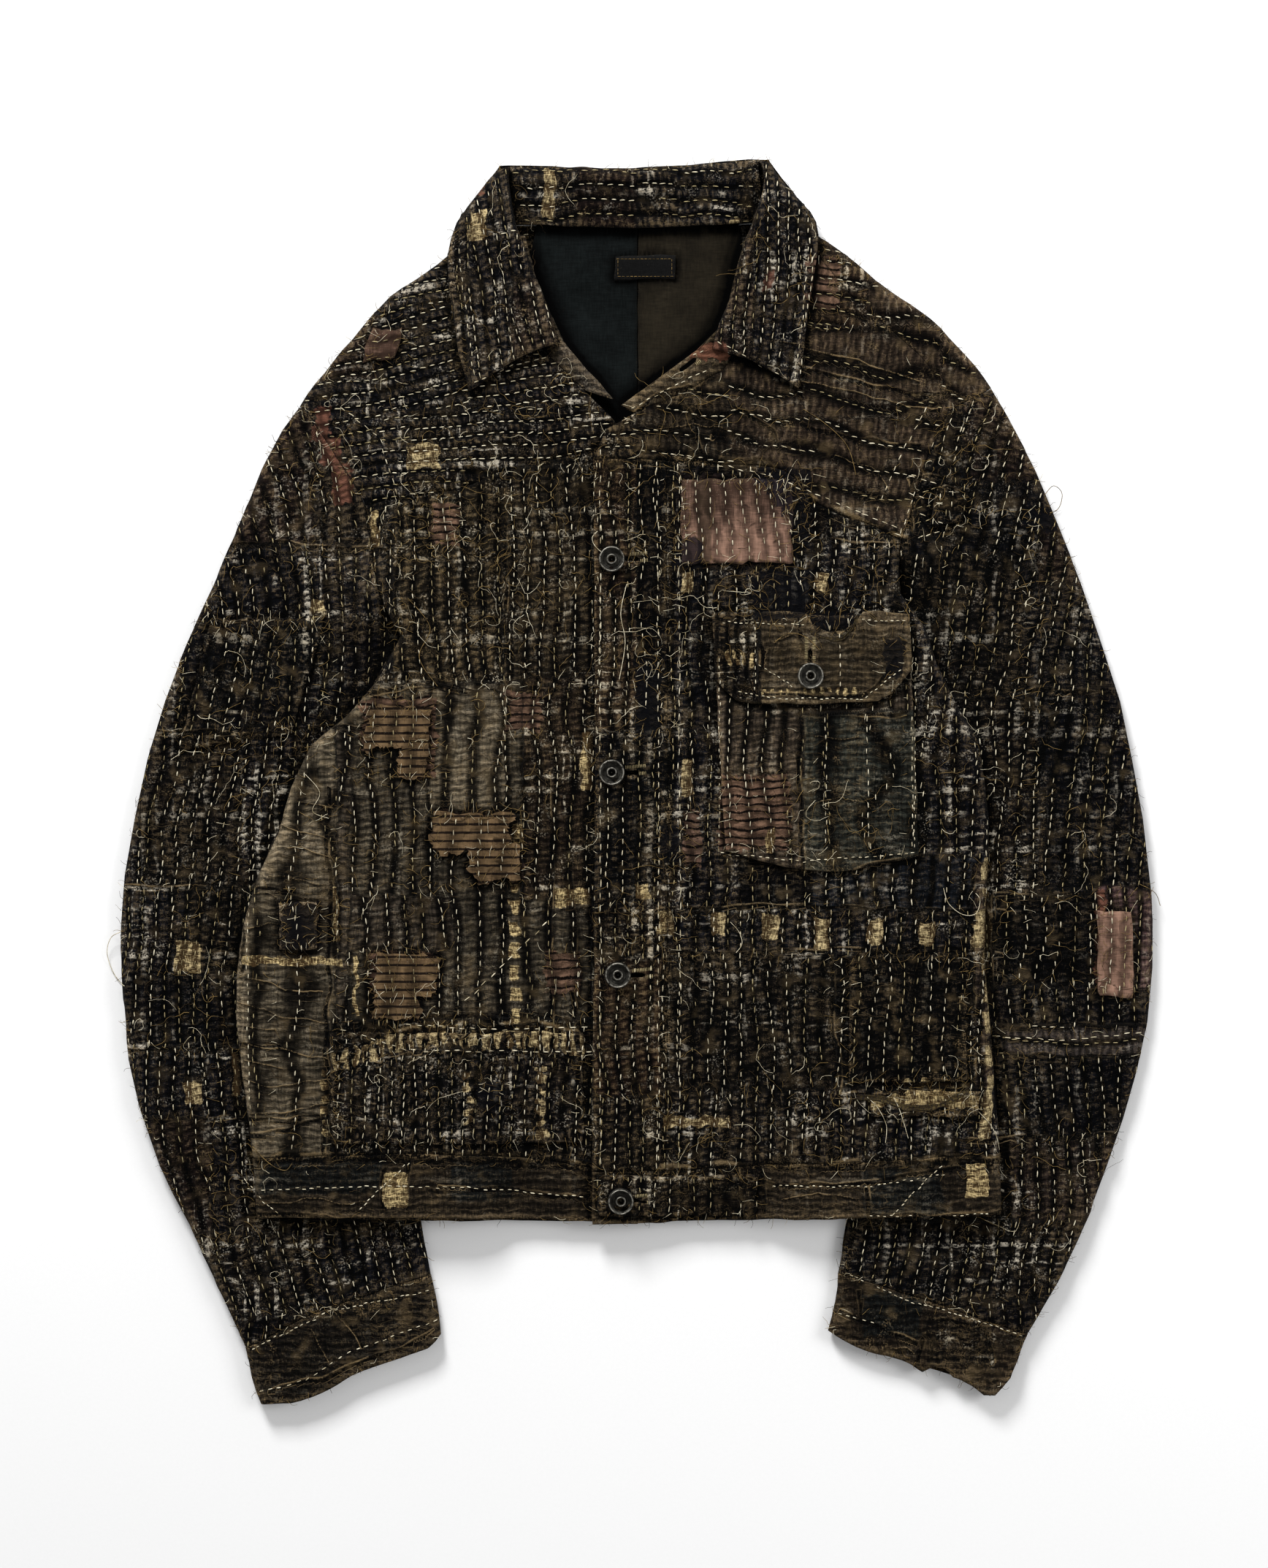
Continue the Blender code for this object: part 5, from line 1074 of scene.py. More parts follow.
    # inserts with ragged edges; the striped and pink cloths get painted shade in the dips and painted light
    # on the swells
    edge_noise = (r.noise(place, 0.35, 3.0) - 0.5) * 16.0
    stripes = r.ramp((y * 1.16).sine() + threads * 0.3 - 0.1, -0.85, -0.35)
    brown = r.mix(colour("1f1712"), colour("7c6552"), stripes * (0.45 + fade * 0.6) * (1.2 - cavity))
    brown = r.shade(brown, 0.35 + pucker * 0.6 + threads * 0.15)
    pink = r.shade(colour("70503f"), 0.3 + pucker * 0.8)
    body = r.mix(body, brown, r.ramp(r.noted("striped") + edge_noise, -0.5, 1.5))
    body = r.mix(body, pink, r.ramp(r.noted("pink") + edge_noise, -0.5, 1.5) * 0.85)
    body = r.mix(body, colour("131315"), r.ramp(r.noted("mend") + edge_noise, -0.5, 2.0) * 0.85)
    # worn blocks: the weft shows as pale cloth, with holes between its threads; it is painted lighter on the
    # swells and darker in the dips
    pale = r.ramp(threads * 0.6 + grain * 0.3 + pucker * 0.45 - cavity * 0.5, 0.15, 1.05)
    left_over = r.ramp(warp * 0.5 + weft * 0.3 + grain * 0.25 + threads * 0.1, 0.30, 0.46)
    block = r.ramp(r.noted("worn") + edge_noise * 0.3, 0.0, 1.2) * left_over * 0.95 * (1.0 - overhang)
    body = r.mix(body, r.mix(colour("483a26"), colour("b8a67c"), pale), block)
    # the frayed edge of the piece
    seam_wear = r.ramp(r.noise(place, 0.06) - fleck * 0.12, 0.40, 0.60)
    torn = r.ramp(grain + threads * 0.2 + fade * 0.3, 0.68, 0.95)
    frayed = (1.0 - r.ramp(rim, 0.8, 3.2)) * torn * seam_wear
    body = r.mix(body, OCHRE, frayed * 0.85 * wear)
    # stitches seen from below are only drawn, because they are pressed flat on the table
    under = r.parts(r.node("ShaderNodeNewGeometry", None, None, 1))[2] * -1.0
    drawn = (1.0 - r.ramp(swell, 0.02, 0.09)) * r.ramp((along * 0.85).sine(), -0.35, 0.0)
    body = r.mix(body, CREAM, drawn * r.ramp(under, 0.5, 0.7) * 0.8)
    height = pucker * 0.9 + hem_lit * 0.6 - hem_shadow * 0.8 + pulled_lit * 0.6 - wrinkle_shadow * 0.5
    height = height + threads * 0.16 + grain * 0.3 + hair * 0.25 + tuft * 0.25 + weave * 0.04 + crack * 0.5
    return r.finish(r.deepened(body, 1.32, cast), 0.82 + grain * 0.2, height, 0.001)


slots = {
    "indigo": boro("indigo_boro", tint=(0.95, 0.96, 1.04), cast=(1.56, 1.66, 2.02)),
    "brown_black": boro("brown_black_boro", tint=(1.05, 1.0, 0.94)),
    "olive": boro("olive_boro", tint=(1.03, 0.98, 0.92), wear=0.9),
    "grey_olive": boro("grey_olive_boro", tint=(1.0, 1.0, 0.96), wear=0.8),
    "ochre": boro("ochre_boro", tint=(1.1, 1.0, 0.85), light=1.6, wear=1.2),
}
print("boro finishes", sorted(slots))

# %% [markdown]
# ## The single cloths
# The rose patch, the brown striped inserts, the lining and the label are one cloth each, so each has a
# short recipe: a plain weave with its own colours, fade and slubs. The label is left bare but for its
# woven border, because the object carries no words.

# %% Rose, striped, lining and label
def single_cloth(name, dark, light, fine=0.9, stripe=0.0, wear=0.5, depth=0.001, low_light=0.0):
    """A plain weave between two colours, with optional cross stripes."""
    r = Recipe(name)
    stripe_free = 0.0 if stripe else 0.9
    place = r.millimetres()
    x, y, _ = r.parts(place)
    slub = r.noise(r.times(place, (1.2, 0.15, 1.0)), fine, 3.0)
    cross = r.noise(r.times(place, (0.15, 1.2, 1.0)), fine, 3.0)
    fade = r.noise(place, 0.045, 4.0)
    swell = r.swell(r.noted("row"))
    # crest: painted light on the swells between stitch rows, in the colour mix and in the shade below
    crest = swell * 0.7 + 0.15
    bars = r.ramp((y * 1.16).sine() + (cross - 0.5) * 0.8, -0.9, -0.4)
    amount = slub * 0.7 + cross * 0.7 + fade * 0.9 + crest * 0.25 - 0.95 + bars * stripe - 0.6 * stripe
    if low_light:  # the rose patch: paler towards its lower end, with one strip of brown
        amount = amount + (0.5 - r.ramp(y, 150.0, 200.0)) * low_light
    body = r.mix(colour(dark), colour(light), r.ramp(amount, 0.0, 1.0))
    grain = r.noise(place, 0.9, 3.0)
    body = r.mix(body, CREAM, r.ramp(grain, 0.66, 0.8) * wear)
    frayed = (1.0 - r.ramp(r.noted("rim"), 0.4, 2.0)) * r.ramp(grain, 0.5, 0.66)
    body = r.mix(body, OCHRE, frayed * wear)
    weave = (x * 6.3).sine() * (y * 6.3).sine()
    if low_light:
        strip = r.ramp(x, 39.2, 40.4) * (1.0 - r.ramp(x, 48.0, 49.4))
        body = r.mix(body, colour("33291f"), strip * (0.9 - slub * 0.4))
    dark_side = r.ramp(r.noted("mend") + (grain - 0.5) * 6.0, -1.0, 1.0) * stripe_free
    body = r.mix(body, colour("15141a"), dark_side)
    # painted shade in the dips and beside higher edges, and painted light on the swells
    shadow = (1.3 - r.noted("cavity") * 1.0) * (1.0 - r.noted("overhang") * 0.85)
    body = r.shade(body, shadow * (0.5 + crest * 0.55))
    height = weave * 0.06 + slub * 0.25 + cross * 0.25 + swell * 0.6
    return r.finish(body, 0.8 + grain * 0.2, height, depth)


slots["rose"] = single_cloth("rose_cloth", "3a2b23", "917160", wear=0.35, low_light=0.45)
slots["striped_brown"] = single_cloth("striped_cloth", "1a130e", "6d583f", stripe=0.85, wear=0.35)
slots["lining_dark"] = single_cloth("slate_lining", "070909", "151919", wear=0.02, depth=0.0006)
slots["lining_brown"] = single_cloth("brown_lining", "15120d", "29241b", wear=0.02, depth=0.0006)
slots["label_black"] = single_cloth("label_tape", "090909", "141414", fine=1.6, wear=0.03, depth=0.0004)
print("finishes", len(slots))

# %% [markdown]
# ## Metal, thread and table
# Cast buttons are dull in their hollows and rubbed bright on their rims, so the turned profile keeps a
# note of which is which. Thread is cotton whose tone drifts along it. The table is a bare white sheet,
# made a little uneven, because nothing real is perfectly flat in tone.

# %% Worn metal, thread and table
def metal(name):
    """Dull cast metal: dark in the hollows, rubbed bright on the rims."""
    r = Recipe(name)
    place = r.millimetres()
    patina = r.noise(place, 0.5, 4.0)
    scratch = r.noise(r.times(place, (0.4, 3.0, 1.0)), 2.0, 3.0)
    rub = r.noted("rub")
    body = r.mix(colour("1c1b19"), colour("4a4842"), r.ramp(patina * 0.7 + scratch * 0.4, 0.35, 0.8))
    body = r.mix(body, colour("a39f94"), rub * r.ramp(patina, 0.3, 0.6) * 0.8)
    made = r.finish(body, 0.5 + patina * 0.3 - rub * 0.2, scratch + patina, 0.00008, 0.0)
    r.shader.inputs["Metallic"].default_value = 0.9
    r.shader.inputs["Specular IOR Level"].default_value = 0.5
    return made


def yarn(name, dark, light):
    """Cotton thread whose colour drifts from stitch to stitch."""
    r = Recipe(name)
    place = r.millimetres()
    tone = r.noise(place, 0.22)
    grain = r.noise(place, 1.4)
    body = r.mix(colour(dark), colour(light), r.ramp(tone * 0.8 + grain * 0.4, 0.38, 0.78))
    return r.finish(body, 0.85, grain, 0.0002)


slots["worn_metal"] = metal("worn_metal")
slots["torn_ochre"] = single_cloth("torn_ochre_cloth", "2e2616", "8a774c", wear=0.4)
PALE_YARN = yarn("pale_yarn", "9a8b69", "f0e6ca")
DIM_YARN = yarn("dim_yarn", "5c5138", "b8a87e")
GOLD_YARN = yarn("gold_yarn", "3f3320", "93794a")
DARK_YARN = yarn("dark_yarn", "14110d", "4a3a24")
white = Recipe("table_top")
grit = white.noise(white.millimetres(), 0.5)
paper = white.shade((0.96, 0.96, 0.96), 0.985 + grit * 0.03)
table.data.materials.append(white.finish(paper, 0.7, grit, 0.00001, 0.0))
print("finishes", sorted(slots))

# %% [markdown]
# ## The cut of each sheet
# The cut is the piece's area laid flat, which is half the surface of its closed shell. The flat width
# and length are the pattern's own box.

# %% Give each skin its finish
CRUMPLE = 1.1  # how much larger a crumpled skin is than its cut
SPARE = 1.02  # the least size of the flat box, as a share of the cut's area
LEAST_FILLED = 0.31  # the smallest share of its flat box that a cut may fill
FINISH_INSTEAD = {
    "stand_back": "indigo", "stand_left": "olive", "patch_waist": "olive", "patch_black": "brown_black",
}
slot_of = {row["node"]: row["material_slot"] for row in frame["record"]["subparts"]}
print("slots named by the record", len(slot_of))


def cut_area(node):
    """The cut's area: half the solid's surface, or one face of a torn patch's single layer."""
    if node in TORN_PATCHES:
        return sum(face.area for face in skins[node][0].data.polygons) / CRUMPLE
    return sum(face.area for face in frame["nodes"][node].data.polygons) / 2


def declare(node):
    low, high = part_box(node)
    area = cut_area(node)
    wide, long = high.x - low.x, high.y - low.y
    grow = max(1.0, math.sqrt(area * SPARE / (wide * long)))
    area = min(max(area, LEAST_FILLED * wide * long * grow * grow), wide * long * grow * grow)


for node, (skin, _) in skins.items():
    slot = slot_of.get(node, "indigo")
    skin.data.materials.clear()
    skin.data.materials.append(slots[FINISH_INSTEAD.get(node, slot)])
    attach(skin, "root")
    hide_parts(node)
print("dressed", len(skins))

# %% [markdown]
# ## The wall inside the collar
# Under its roll a collar hides a wall of stiff cloth that joins the leaf to the neck. It shows only
# from low down, as the dark inside of the fold. It follows the leaf's own outline from the height map,
# two cells in, and hangs from the leaf to whatever lies below.

# %% Stand the collar walls
WALL_FROM = 0.318  # y above which the fold needs its wall
LEAF_DEPTH = 0.0026
LOWEST = 0.0003
# For each side of a cell: the neighbour there, then the side's two corners
CELL_SIDES = (
    ((1, 0), (1, 0), (1, 1)), ((-1, 0), (0, 1), (0, 0)), ((0, 1), (1, 1), (0, 1)), ((0, -1), (0, 0), (1, 0)),
)


def collar_wall(leaf):
    """A wall under a leaf's border, along the open sides of the outermost cells."""
    mask = owners == number_of[leaf]
    for _ in range(2):
        mask = mask & (blurred(mask.astype(float), 1) > 0.999)
    upper = mask.copy()
    upper[:, :int((WALL_FROM - MAP_LOW[1]) / CELL)] = False
    corners, faces, index = [], [], {}

    def corner(i, j, level, z):
        key = (i, j, level)
        if key not in index:
            index[key] = len(corners)
            corners.append([*map_place(i - 0.5, j - 0.5), z])
        return index[key]

    for i, j in np.argwhere(upper):
        top = heights[i, j] - LEAF_DEPTH
        for (di, dj), a, b in CELL_SIDES:
            if mask[i + di, j + dj]:
                continue
            hit = cloth_tree.ray_cast(Vector((*map_place(i, j), top - 0.002)), BELOW)[0]
            low = LOWEST if hit is None else max(hit.z - 0.001, LOWEST)
            faces.append([corner(i + a[0], j + a[1], 0, top), corner(i + b[0], j + b[1], 0, top),
                          corner(i + b[0], j + b[1], 1, low), corner(i + a[0], j + a[1], 1, low)])
    mesh = new_mesh(leaf + "_wall", corners, faces)
    points = points_of(mesh)
    for name, values in fields(points, "collar")[1].items():
        note(mesh, name, values)
    note(mesh, "rim", np.full(len(points), 20.0))
    mesh.materials.append(slots["brown_black"])
    wall = placed(leaf + "_wall", mesh)
    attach(wall, "root")
    return wall


collar_walls = {leaf: collar_wall(leaf) for leaf in ("leaf_right", "leaf_left")}
print("wall faces", [len(wall.data.polygons) for wall in collar_walls.values()])

# %% [markdown]
# ## Running stitch
# A running stitch goes in and out: on top it is a short float of thread, sunk at both ends. Each row's
# line is walked at the stitch's pitch, and a ray dropped from above finds the cloth, so every stitch
# lies on its own layer. All the stitches of one piece are joined into one mesh, because thousands of
# objects would be slow, and each is a three-sided tube of four rings, which is enough at this size.

# %% Thread as thin tubes
TUBE_SIDES = 3


def tubes(name, paths, radii, squash):
    """Joined thin tubes, one for each path; radii has one value for each point of a path."""
    corners, faces = [], []
    for path, radius in zip(paths, radii):
        path = np.asarray(path)
        ahead = np.gradient(path, axis=0)
        ahead /= np.maximum(np.linalg.norm(ahead, axis=1, keepdims=True), 1e-12)
        side = np.cross(ahead, (0, 0, 1.0))
        side /= np.maximum(np.linalg.norm(side, axis=1, keepdims=True), 1e-9)
        up = np.cross(side, ahead)
        base, count = len(corners), len(path)
        for k in range(TUBE_SIDES):
            turn = TURN * k / TUBE_SIDES + math.pi / 2
            out = side * math.cos(turn) + up * math.sin(turn) * squash
            corners += (path + out * np.asarray(radius)[:, None]).tolist()
        for k in range(TUBE_SIDES):
            a, b = base + k * count, base + (k + 1) % TUBE_SIDES * count
            faces += [(a + i, a + i + 1, b + i + 1, b + i) for i in range(count - 1)]
    return placed(name, new_mesh(name, corners, faces))


def keep(bundles, owner, kind, path, radii):
    """Adds a thread to the bundle of its piece and its yarn."""
    paths, all_radii = bundles.setdefault((owner, kind), ([], []))
    paths.append(path)
    all_radii.append(radii)


def spin(prefix, bundles, yarns, squash):
    """Turns each bundle into one piece that goes with its sheet."""
    for (node, kind), (paths, radii) in bundles.items():
        made = tubes(f"{prefix}_{node}_{kind}", paths, radii, squash)
        made.data.materials.append(yarns[kind])
        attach(made, "root")
        sewing.setdefault(node, []).append(made)
    made = [piece for group in sewing.values() for piece in group if piece.name.startswith(prefix)]
    print(prefix, "pieces", len(made), "triangles", sum(2 * len(piece.data.polygons) for piece in made))


print("sides of a tube", TUBE_SIDES)

# %% [markdown]
# ## Quilting
# Boro is quilted: the rows of running stitch hold all the layers together, and give each scrap its own
# grain. A stitch is laid only where it stays on one piece, off the buttons, on cloth that faces up. A
# random generator with a fixed seed makes every stitch a little different and every run the same.

# %% Sew the rows of every scrap
dice = np.random.default_rng(11)
THREAD = 0.00042
STITCH = 9.0
SPACE = 4.0
FLOAT, SUNK = 0.00030, -0.00025  # a stitch's middle and its ends, above the cloth
STEEPEST = 0.35  # the least z of a normal under a stitch
LONGEST_DROP = 0.003
stitches, sewing = {}, {}
GROUP_OF = {**TOP_PIECES, **PATCH_GROUPS}
BUTTON_SPOTS = []
for node in frame["nodes"]:
    if "button" in node:
        low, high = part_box(node)
        BUTTON_SPOTS.append(((low.x + high.x) / 2, (low.y + high.y) / 2, (high.x - low.x) / 2))


def on_button(x, y):
    return any(math.hypot(x - bx, y - by) < radius + 0.0008 for bx, by, radius in BUTTON_SPOTS)


def lay_stitch(column, row, dx, dy, length, group=None, kind=0, radius=THREAD):
    """One stitch centred on the chart, along (dx, dy); False if there is no cloth of that group."""
    path, nodes = [], []
    for t in (-0.5, -0.2, 0.2, 0.5):
        x, y = metres(column + dx * length * t, row + dy * length * t)
        found = land(x, y)
        if found is None or found[1].z < STEEPEST or on_button(x, y):
            return False
        path.append([x, y, found[0] + (FLOAT if abs(t) < 0.3 else SUNK)])
        nodes.append(found[2])
    here = GROUP_OF.get(nodes[1])
    if nodes[1] != nodes[2] or (group and here != group) or (here in ("lining", "label")) != (kind == 2):
        return False
    if max(p[2] for p in path) - min(p[2] for p in path) > LONGEST_DROP:
        return False
    keep(stitches, nodes[1], kind, path, np.array([0.4, 1.0, 1.0, 0.4]) * radius * dice.uniform(0.65, 1.15))
    return True


def sew_scraps(group):
    scraps = SCRAPS[group]
    sewn = 0
    for i, (left, top, right, bottom, cloth, lean, gap) in enumerate(scraps):
        if gap > WIDEST_GAP:
            continue
        turn = math.radians(lean)
        nx, ny, dx, dy = math.cos(turn), math.sin(turn), -math.sin(turn), math.cos(turn)
        left, top, right, bottom = max(left, 150), max(top, 200), min(right, 1600), min(bottom, 1950)
        corners = [(left, top), (right, top), (left, bottom), (right, bottom)]
        numbers = [(x * nx + y * ny) / gap for x, y in corners]
        reach = [x * dx + y * dy for x, y in corners]
        cx, cy, seeds = [], [], []
        for k in range(math.floor(min(numbers)) - 1, math.ceil(max(numbers)) + 2):
            t = min(reach) + dice.uniform(0, STITCH)
            while t < max(reach):
                cx.append(nx * k * gap + dx * t)
                cy.append(ny * k * gap + dy * t)
                seeds.append(k)
                t += (STITCH + SPACE) * dice.uniform(0.82, 1.2)
        cx, cy, seeds = np.array(cx), np.array(cy), np.array(seeds, float)
        for _ in range(3):  # slide each stitch on to its wandering row
            off = seeds - row_number(cx, cy, lean, gap, 40 + i)
            cx, cy = cx + nx * off * gap, cy + ny * off * gap
        keep = which_scrap(cx, cy, scraps) == i
        gone = hills(seeds * 7.3, (cx * dx + cy * dy) / 90, 1, 300) + dice.uniform(-0.25, 0.25, len(cx))
        keep &= gone < 0.62
        kinds = (hills(seeds * 3.7 + i, seeds * 0, 1, 301) > 0.15).astype(int) * (cloth != "rose_row")
        for x, y, kind in zip(cx[keep], cy[keep], kinds[keep]):
            sway = dice.normal(0, 0.09)
            length = STITCH * dice.uniform(0.75, 1.15)
            sewn += lay_stitch(x, y, dx + nx * sway, dy + ny * sway, length, group, int(kind))
    return sewn


for group in ("sleeve", "body", "yoke", "collar", "band", "pocket"):
    print("stitches,", group, sew_scraps(group))

# %% [markdown]
# ## Seam lines
# Besides the quilting, longer lines of stitch hold the garment itself: round the pocket and the flap,
# along the collar's edge, the waistband, the cuffs and the armholes. Each is a line on the chart with
# its stitch length and the space after it.

# %% The seam lines: points on the chart, stitch length and space
SEAM_LINES = [
    ([(340, 1628), (500, 1622), (640, 1624), (806, 1640)], 7, 4),
    ([(560, 1590), (528, 1620), (495, 1652)], 6, 2), ([(335, 1615), (360, 1640), (385, 1662)], 6, 2),
    ([(1285, 1596), (1252, 1628), (1219, 1662)], 6, 2), ([(1192, 1662), (1280, 1664), (1360, 1658)], 5, 4),
    ([(1060, 1622), (1190, 1622), (1300, 1604)], 5, 4), ([(338, 1850), (450, 1796), (590, 1766)], 6, 2.5),
    ([(358, 1905), (420, 1888), (480, 1850), (520, 1836), (602, 1806)], 7, 6),
    ([(1166, 1746), (1240, 1780), (1320, 1802), (1405, 1830)], 6, 2.5),
    ([(1150, 1798), (1200, 1812)], 6, 6),
    ([(985, 905), (985, 1168), (1100, 1178), (1250, 1168), (1252, 900)], 6, 4),
    ([(1129, 985), (1130, 1160)], 8, 5), ([(1186, 985), (1188, 1165)], 9, 5),
    ([(1247, 985), (1248, 1165)], 8, 5), ([(1040, 912), (1064, 926), (1088, 944)], 5, 2.5),
    ([(1012, 948), (1060, 956), (1180, 958), (1230, 918)], 5, 3), ([(990, 852), (1100, 856)], 5, 3),
    ([(1180, 850), (1240, 852)], 5, 3), ([(1034, 862), (1034, 950)], 6, 4),
    ([(1148, 872), (1148, 940)], 7, 6), ([(930, 640), (930, 820), (930, 1000)], 12, 6),
    ([(930, 1010), (932, 1250), (930, 1580)], 12, 7), ([(822, 620), (822, 1000), (822, 1590)], 11, 6),
    ([(900, 630), (902, 1000), (902, 1590)], 9, 6), ([(1277, 608), (1255, 670), (1230, 735)], 9, 5),
    ([(1268, 560), (1235, 620), (1200, 700)], 9, 6),
    ([(945, 628), (1050, 650), (1150, 690), (1225, 722)], 9, 5),
    ([(640, 530), (700, 500), (760, 486)], 8, 5), ([(628, 345), (640, 440), (650, 520)], 8, 5),
    ([(985, 470), (1020, 490), (1080, 522)], 8, 5), ([(1108, 330), (1100, 420), (1088, 520)], 8, 5),
    ([(342, 1180), (340, 1300), (344, 1570)], 7, 5), ([(758, 1253), (700, 1310), (636, 1372)], 10, 6),
    ([(470, 560), (520, 600), (545, 680)], 9, 5), ([(880, 522), (920, 500), (968, 478)], 7, 4),
    ([(868, 558), (920, 530), (972, 505)], 7, 4), ([(775, 470), (810, 510), (842, 548)], 7, 4),
    ([(690, 322), (760, 312), (860, 314), (970, 318)], 9, 6),
    ([(1350, 1418), (1450, 1424), (1580, 1412)], 10, 5), ([(1250, 652), (1298, 668)], 10, 4),
    ([(1248, 676), (1298, 694)], 10, 4), ([(1248, 700), (1298, 720)], 10, 4),
    ([(560, 1400), (690, 1410), (805, 1406)], 9, 6), ([(470, 1408), (560, 1436), (810, 1440)], 9, 6),
]


def walk(line, stitch, space):
    """Centres and directions of the stitches along a line on the chart."""
    spots = []
    t = 0.0
    for x0, y0, dx, dy, far in segments(line):
        while t < far:
            spots.append((x0 + dx * t, y0 + dy * t, dx, dy))
            t += (stitch + space) * dice.uniform(0.9, 1.1)
        t -= far
    return spots


BUTTONHOLES = [
    ((853, 765), (886, 762)), ((853, 1056), (885, 1053)), ((862, 1334), (893, 1331)),
    ((862, 1642), (888, 1640)), ((1108, 874), (1108, 906)), ((956, 491), (932, 507)),
]
LABEL_EDGE = [(846, 353), (920, 353), (920, 377), (846, 377), (846, 353)]
sewn = 0
for line in BUTTONHOLES:  # close bars of thread down both sides of each slot
    for x0, y0, dx, dy, far in segments(line):
        for t in np.arange(0, far, 2.2):
            for out in (-5.0, 5.0):
                x, y = x0 + dx * t - dy * out, y0 + dy * t + dx * out
                sewn += lay_stitch(x, y, -dy, dx, 6.0, kind=1, radius=0.00034)
for x, y, dx, dy in walk(LABEL_EDGE, 5, 0.6):
    sewn += lay_stitch(x, y, dx, dy, 5.2, kind=2, radius=0.00022)
for line, stitch, space in SEAM_LINES:
    for x, y, dx, dy in walk(line, stitch, space):
        sway = dice.normal(0, 0.06)
        x, y = x + dice.normal(0, 0.7), y + dice.normal(0, 0.7)
        sewn += lay_stitch(x, y, dx - dy * sway, dy + dx * sway, stitch * dice.uniform(0.85, 1.1))
print("seam stitches", sewn)

# %% Spin the stitches
spin("stitches", stitches, (PALE_YARN, DIM_YARN, GOLD_YARN), 0.7)
for leaf, wall in collar_walls.items():
    sewing.setdefault(leaf, []).append(wall)

# %% [markdown]
# ## Frays and loose threads
# Old patches shed threads along every torn edge: short tufts that lie across the edge, and a few long
# ends that wander and loop. A thread is walked over the cloth in short steps with a slowly turning
# heading, its height a little above the layer below it, and its free end lifting.

# %% Comb out the frays
FINE_THREAD = 0.00017
TUFT = 14.0
frays = {}


def lay_thread(column, row, heading, length, radius, loft, curl, steps, kind):
    """One loose thread that starts on the chart and wanders over the cloth."""
    path, owner, height = [], None, None
    bend = dice.normal(0, curl)
    for k in range(steps + 1):
        x, y = metres(column, row)
        found = land(x, y)
        if found is None:
            if owner is None or k < 2:
                return False
            ground = max(path[-1][2] - 0.0015, 0.0004)
        else:
            ground = found[0]
            owner = owner or found[2]
            if TOP_PIECES.get(owner) in ("lining", "label") or on_button(x, y):
                return False
        lift = loft * math.sin(math.pi * min(1.0, (k + 0.5) / steps)) + 0.0002
        height = ground + lift if height is None else max(ground + lift, height - 0.002)
        path.append([x, y, max(height if k else ground, radius)])
        heading += bend * 0.35 + dice.normal(0, curl * 0.55)
        column += math.cos(heading) * length / steps
        row += math.sin(heading) * length / steps
    keep(frays, owner, kind, path, radius * np.linspace(1.0, 0.55, len(path)))
    return True


def fringe(left, top, right, bottom, density):
    """Tufts across a box's sides: density is tufts for each step of the line."""
    made = 0
    sides = [(left, top), (right, top), (right, bottom), (left, bottom), (left, top)]
    for x0, y0, dx, dy, far in segments(sides):
        for t in np.arange(dice.uniform(0, 1 / density), far, 1 / density):
            out = math.atan2(dx, -dy) + (0 if dice.random() < 0.5 else math.pi) + dice.normal(0, 0.55)
            kind = int(dice.choice(3, p=(0.2, 0.5, 0.3)))
            x, y = x0 + dx * t + dice.normal(0, 2), y0 + dy * t + dice.normal(0, 2)
            length, radius = TUFT * dice.uniform(0.4, 1.4), FINE_THREAD * dice.uniform(0.7, 1.2)
            made += lay_thread(x, y, out, length, radius, 0.0006, 0.35, 4, kind)
    return made


tufts = 0
for box in STRIPED + BLACK_MENDS:
    tufts += fringe(*box, 0.16)
for node in PATCH_NODES:
    low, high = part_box(node)
    left, top = to_chart(low.x, high.y)
    right, bottom = to_chart(high.x, low.y)
    tufts += fringe(left + 3, top + 3, right - 3, bottom - 3, 0.16)
for group in ("sleeve", "body", "yoke"):
    for left, top, right, bottom, *_ in SCRAPS[group]:
        if right - left < 500:  # not the ground cloths, which have no torn edge
            tufts += fringe(left, top, right, bottom, 0.05)
print("tufts", tufts)

# %% Fuzz along the outline
FUZZ_THREAD = 0.00016
on_cloth = (owners >= 0).astype(float)
slope_x, slope_y = np.gradient(blurred(on_cloth, 3))
border = np.argwhere((on_cloth > 0) & (blurred(on_cloth, 1) < 0.99))
fuzz = 0
for i, j in border[dice.choice(len(border), 700, replace=False)]:
    column, row = to_chart(*map_place(i, j))
    out = math.atan2(slope_y[i, j], -slope_x[i, j])
    x, y, heading = column - math.cos(out) * 5, row - math.sin(out) * 5, out + dice.normal(0, 0.6)
    length, radius = dice.uniform(8, 20), FUZZ_THREAD * dice.uniform(0.8, 1.3)
    kind = int(dice.choice(3, p=(0.15, 0.35, 0.5)))
    fuzz += lay_thread(x, y, heading, length, radius, 0.0004, 0.6, 5, kind)
print("fuzz", fuzz)

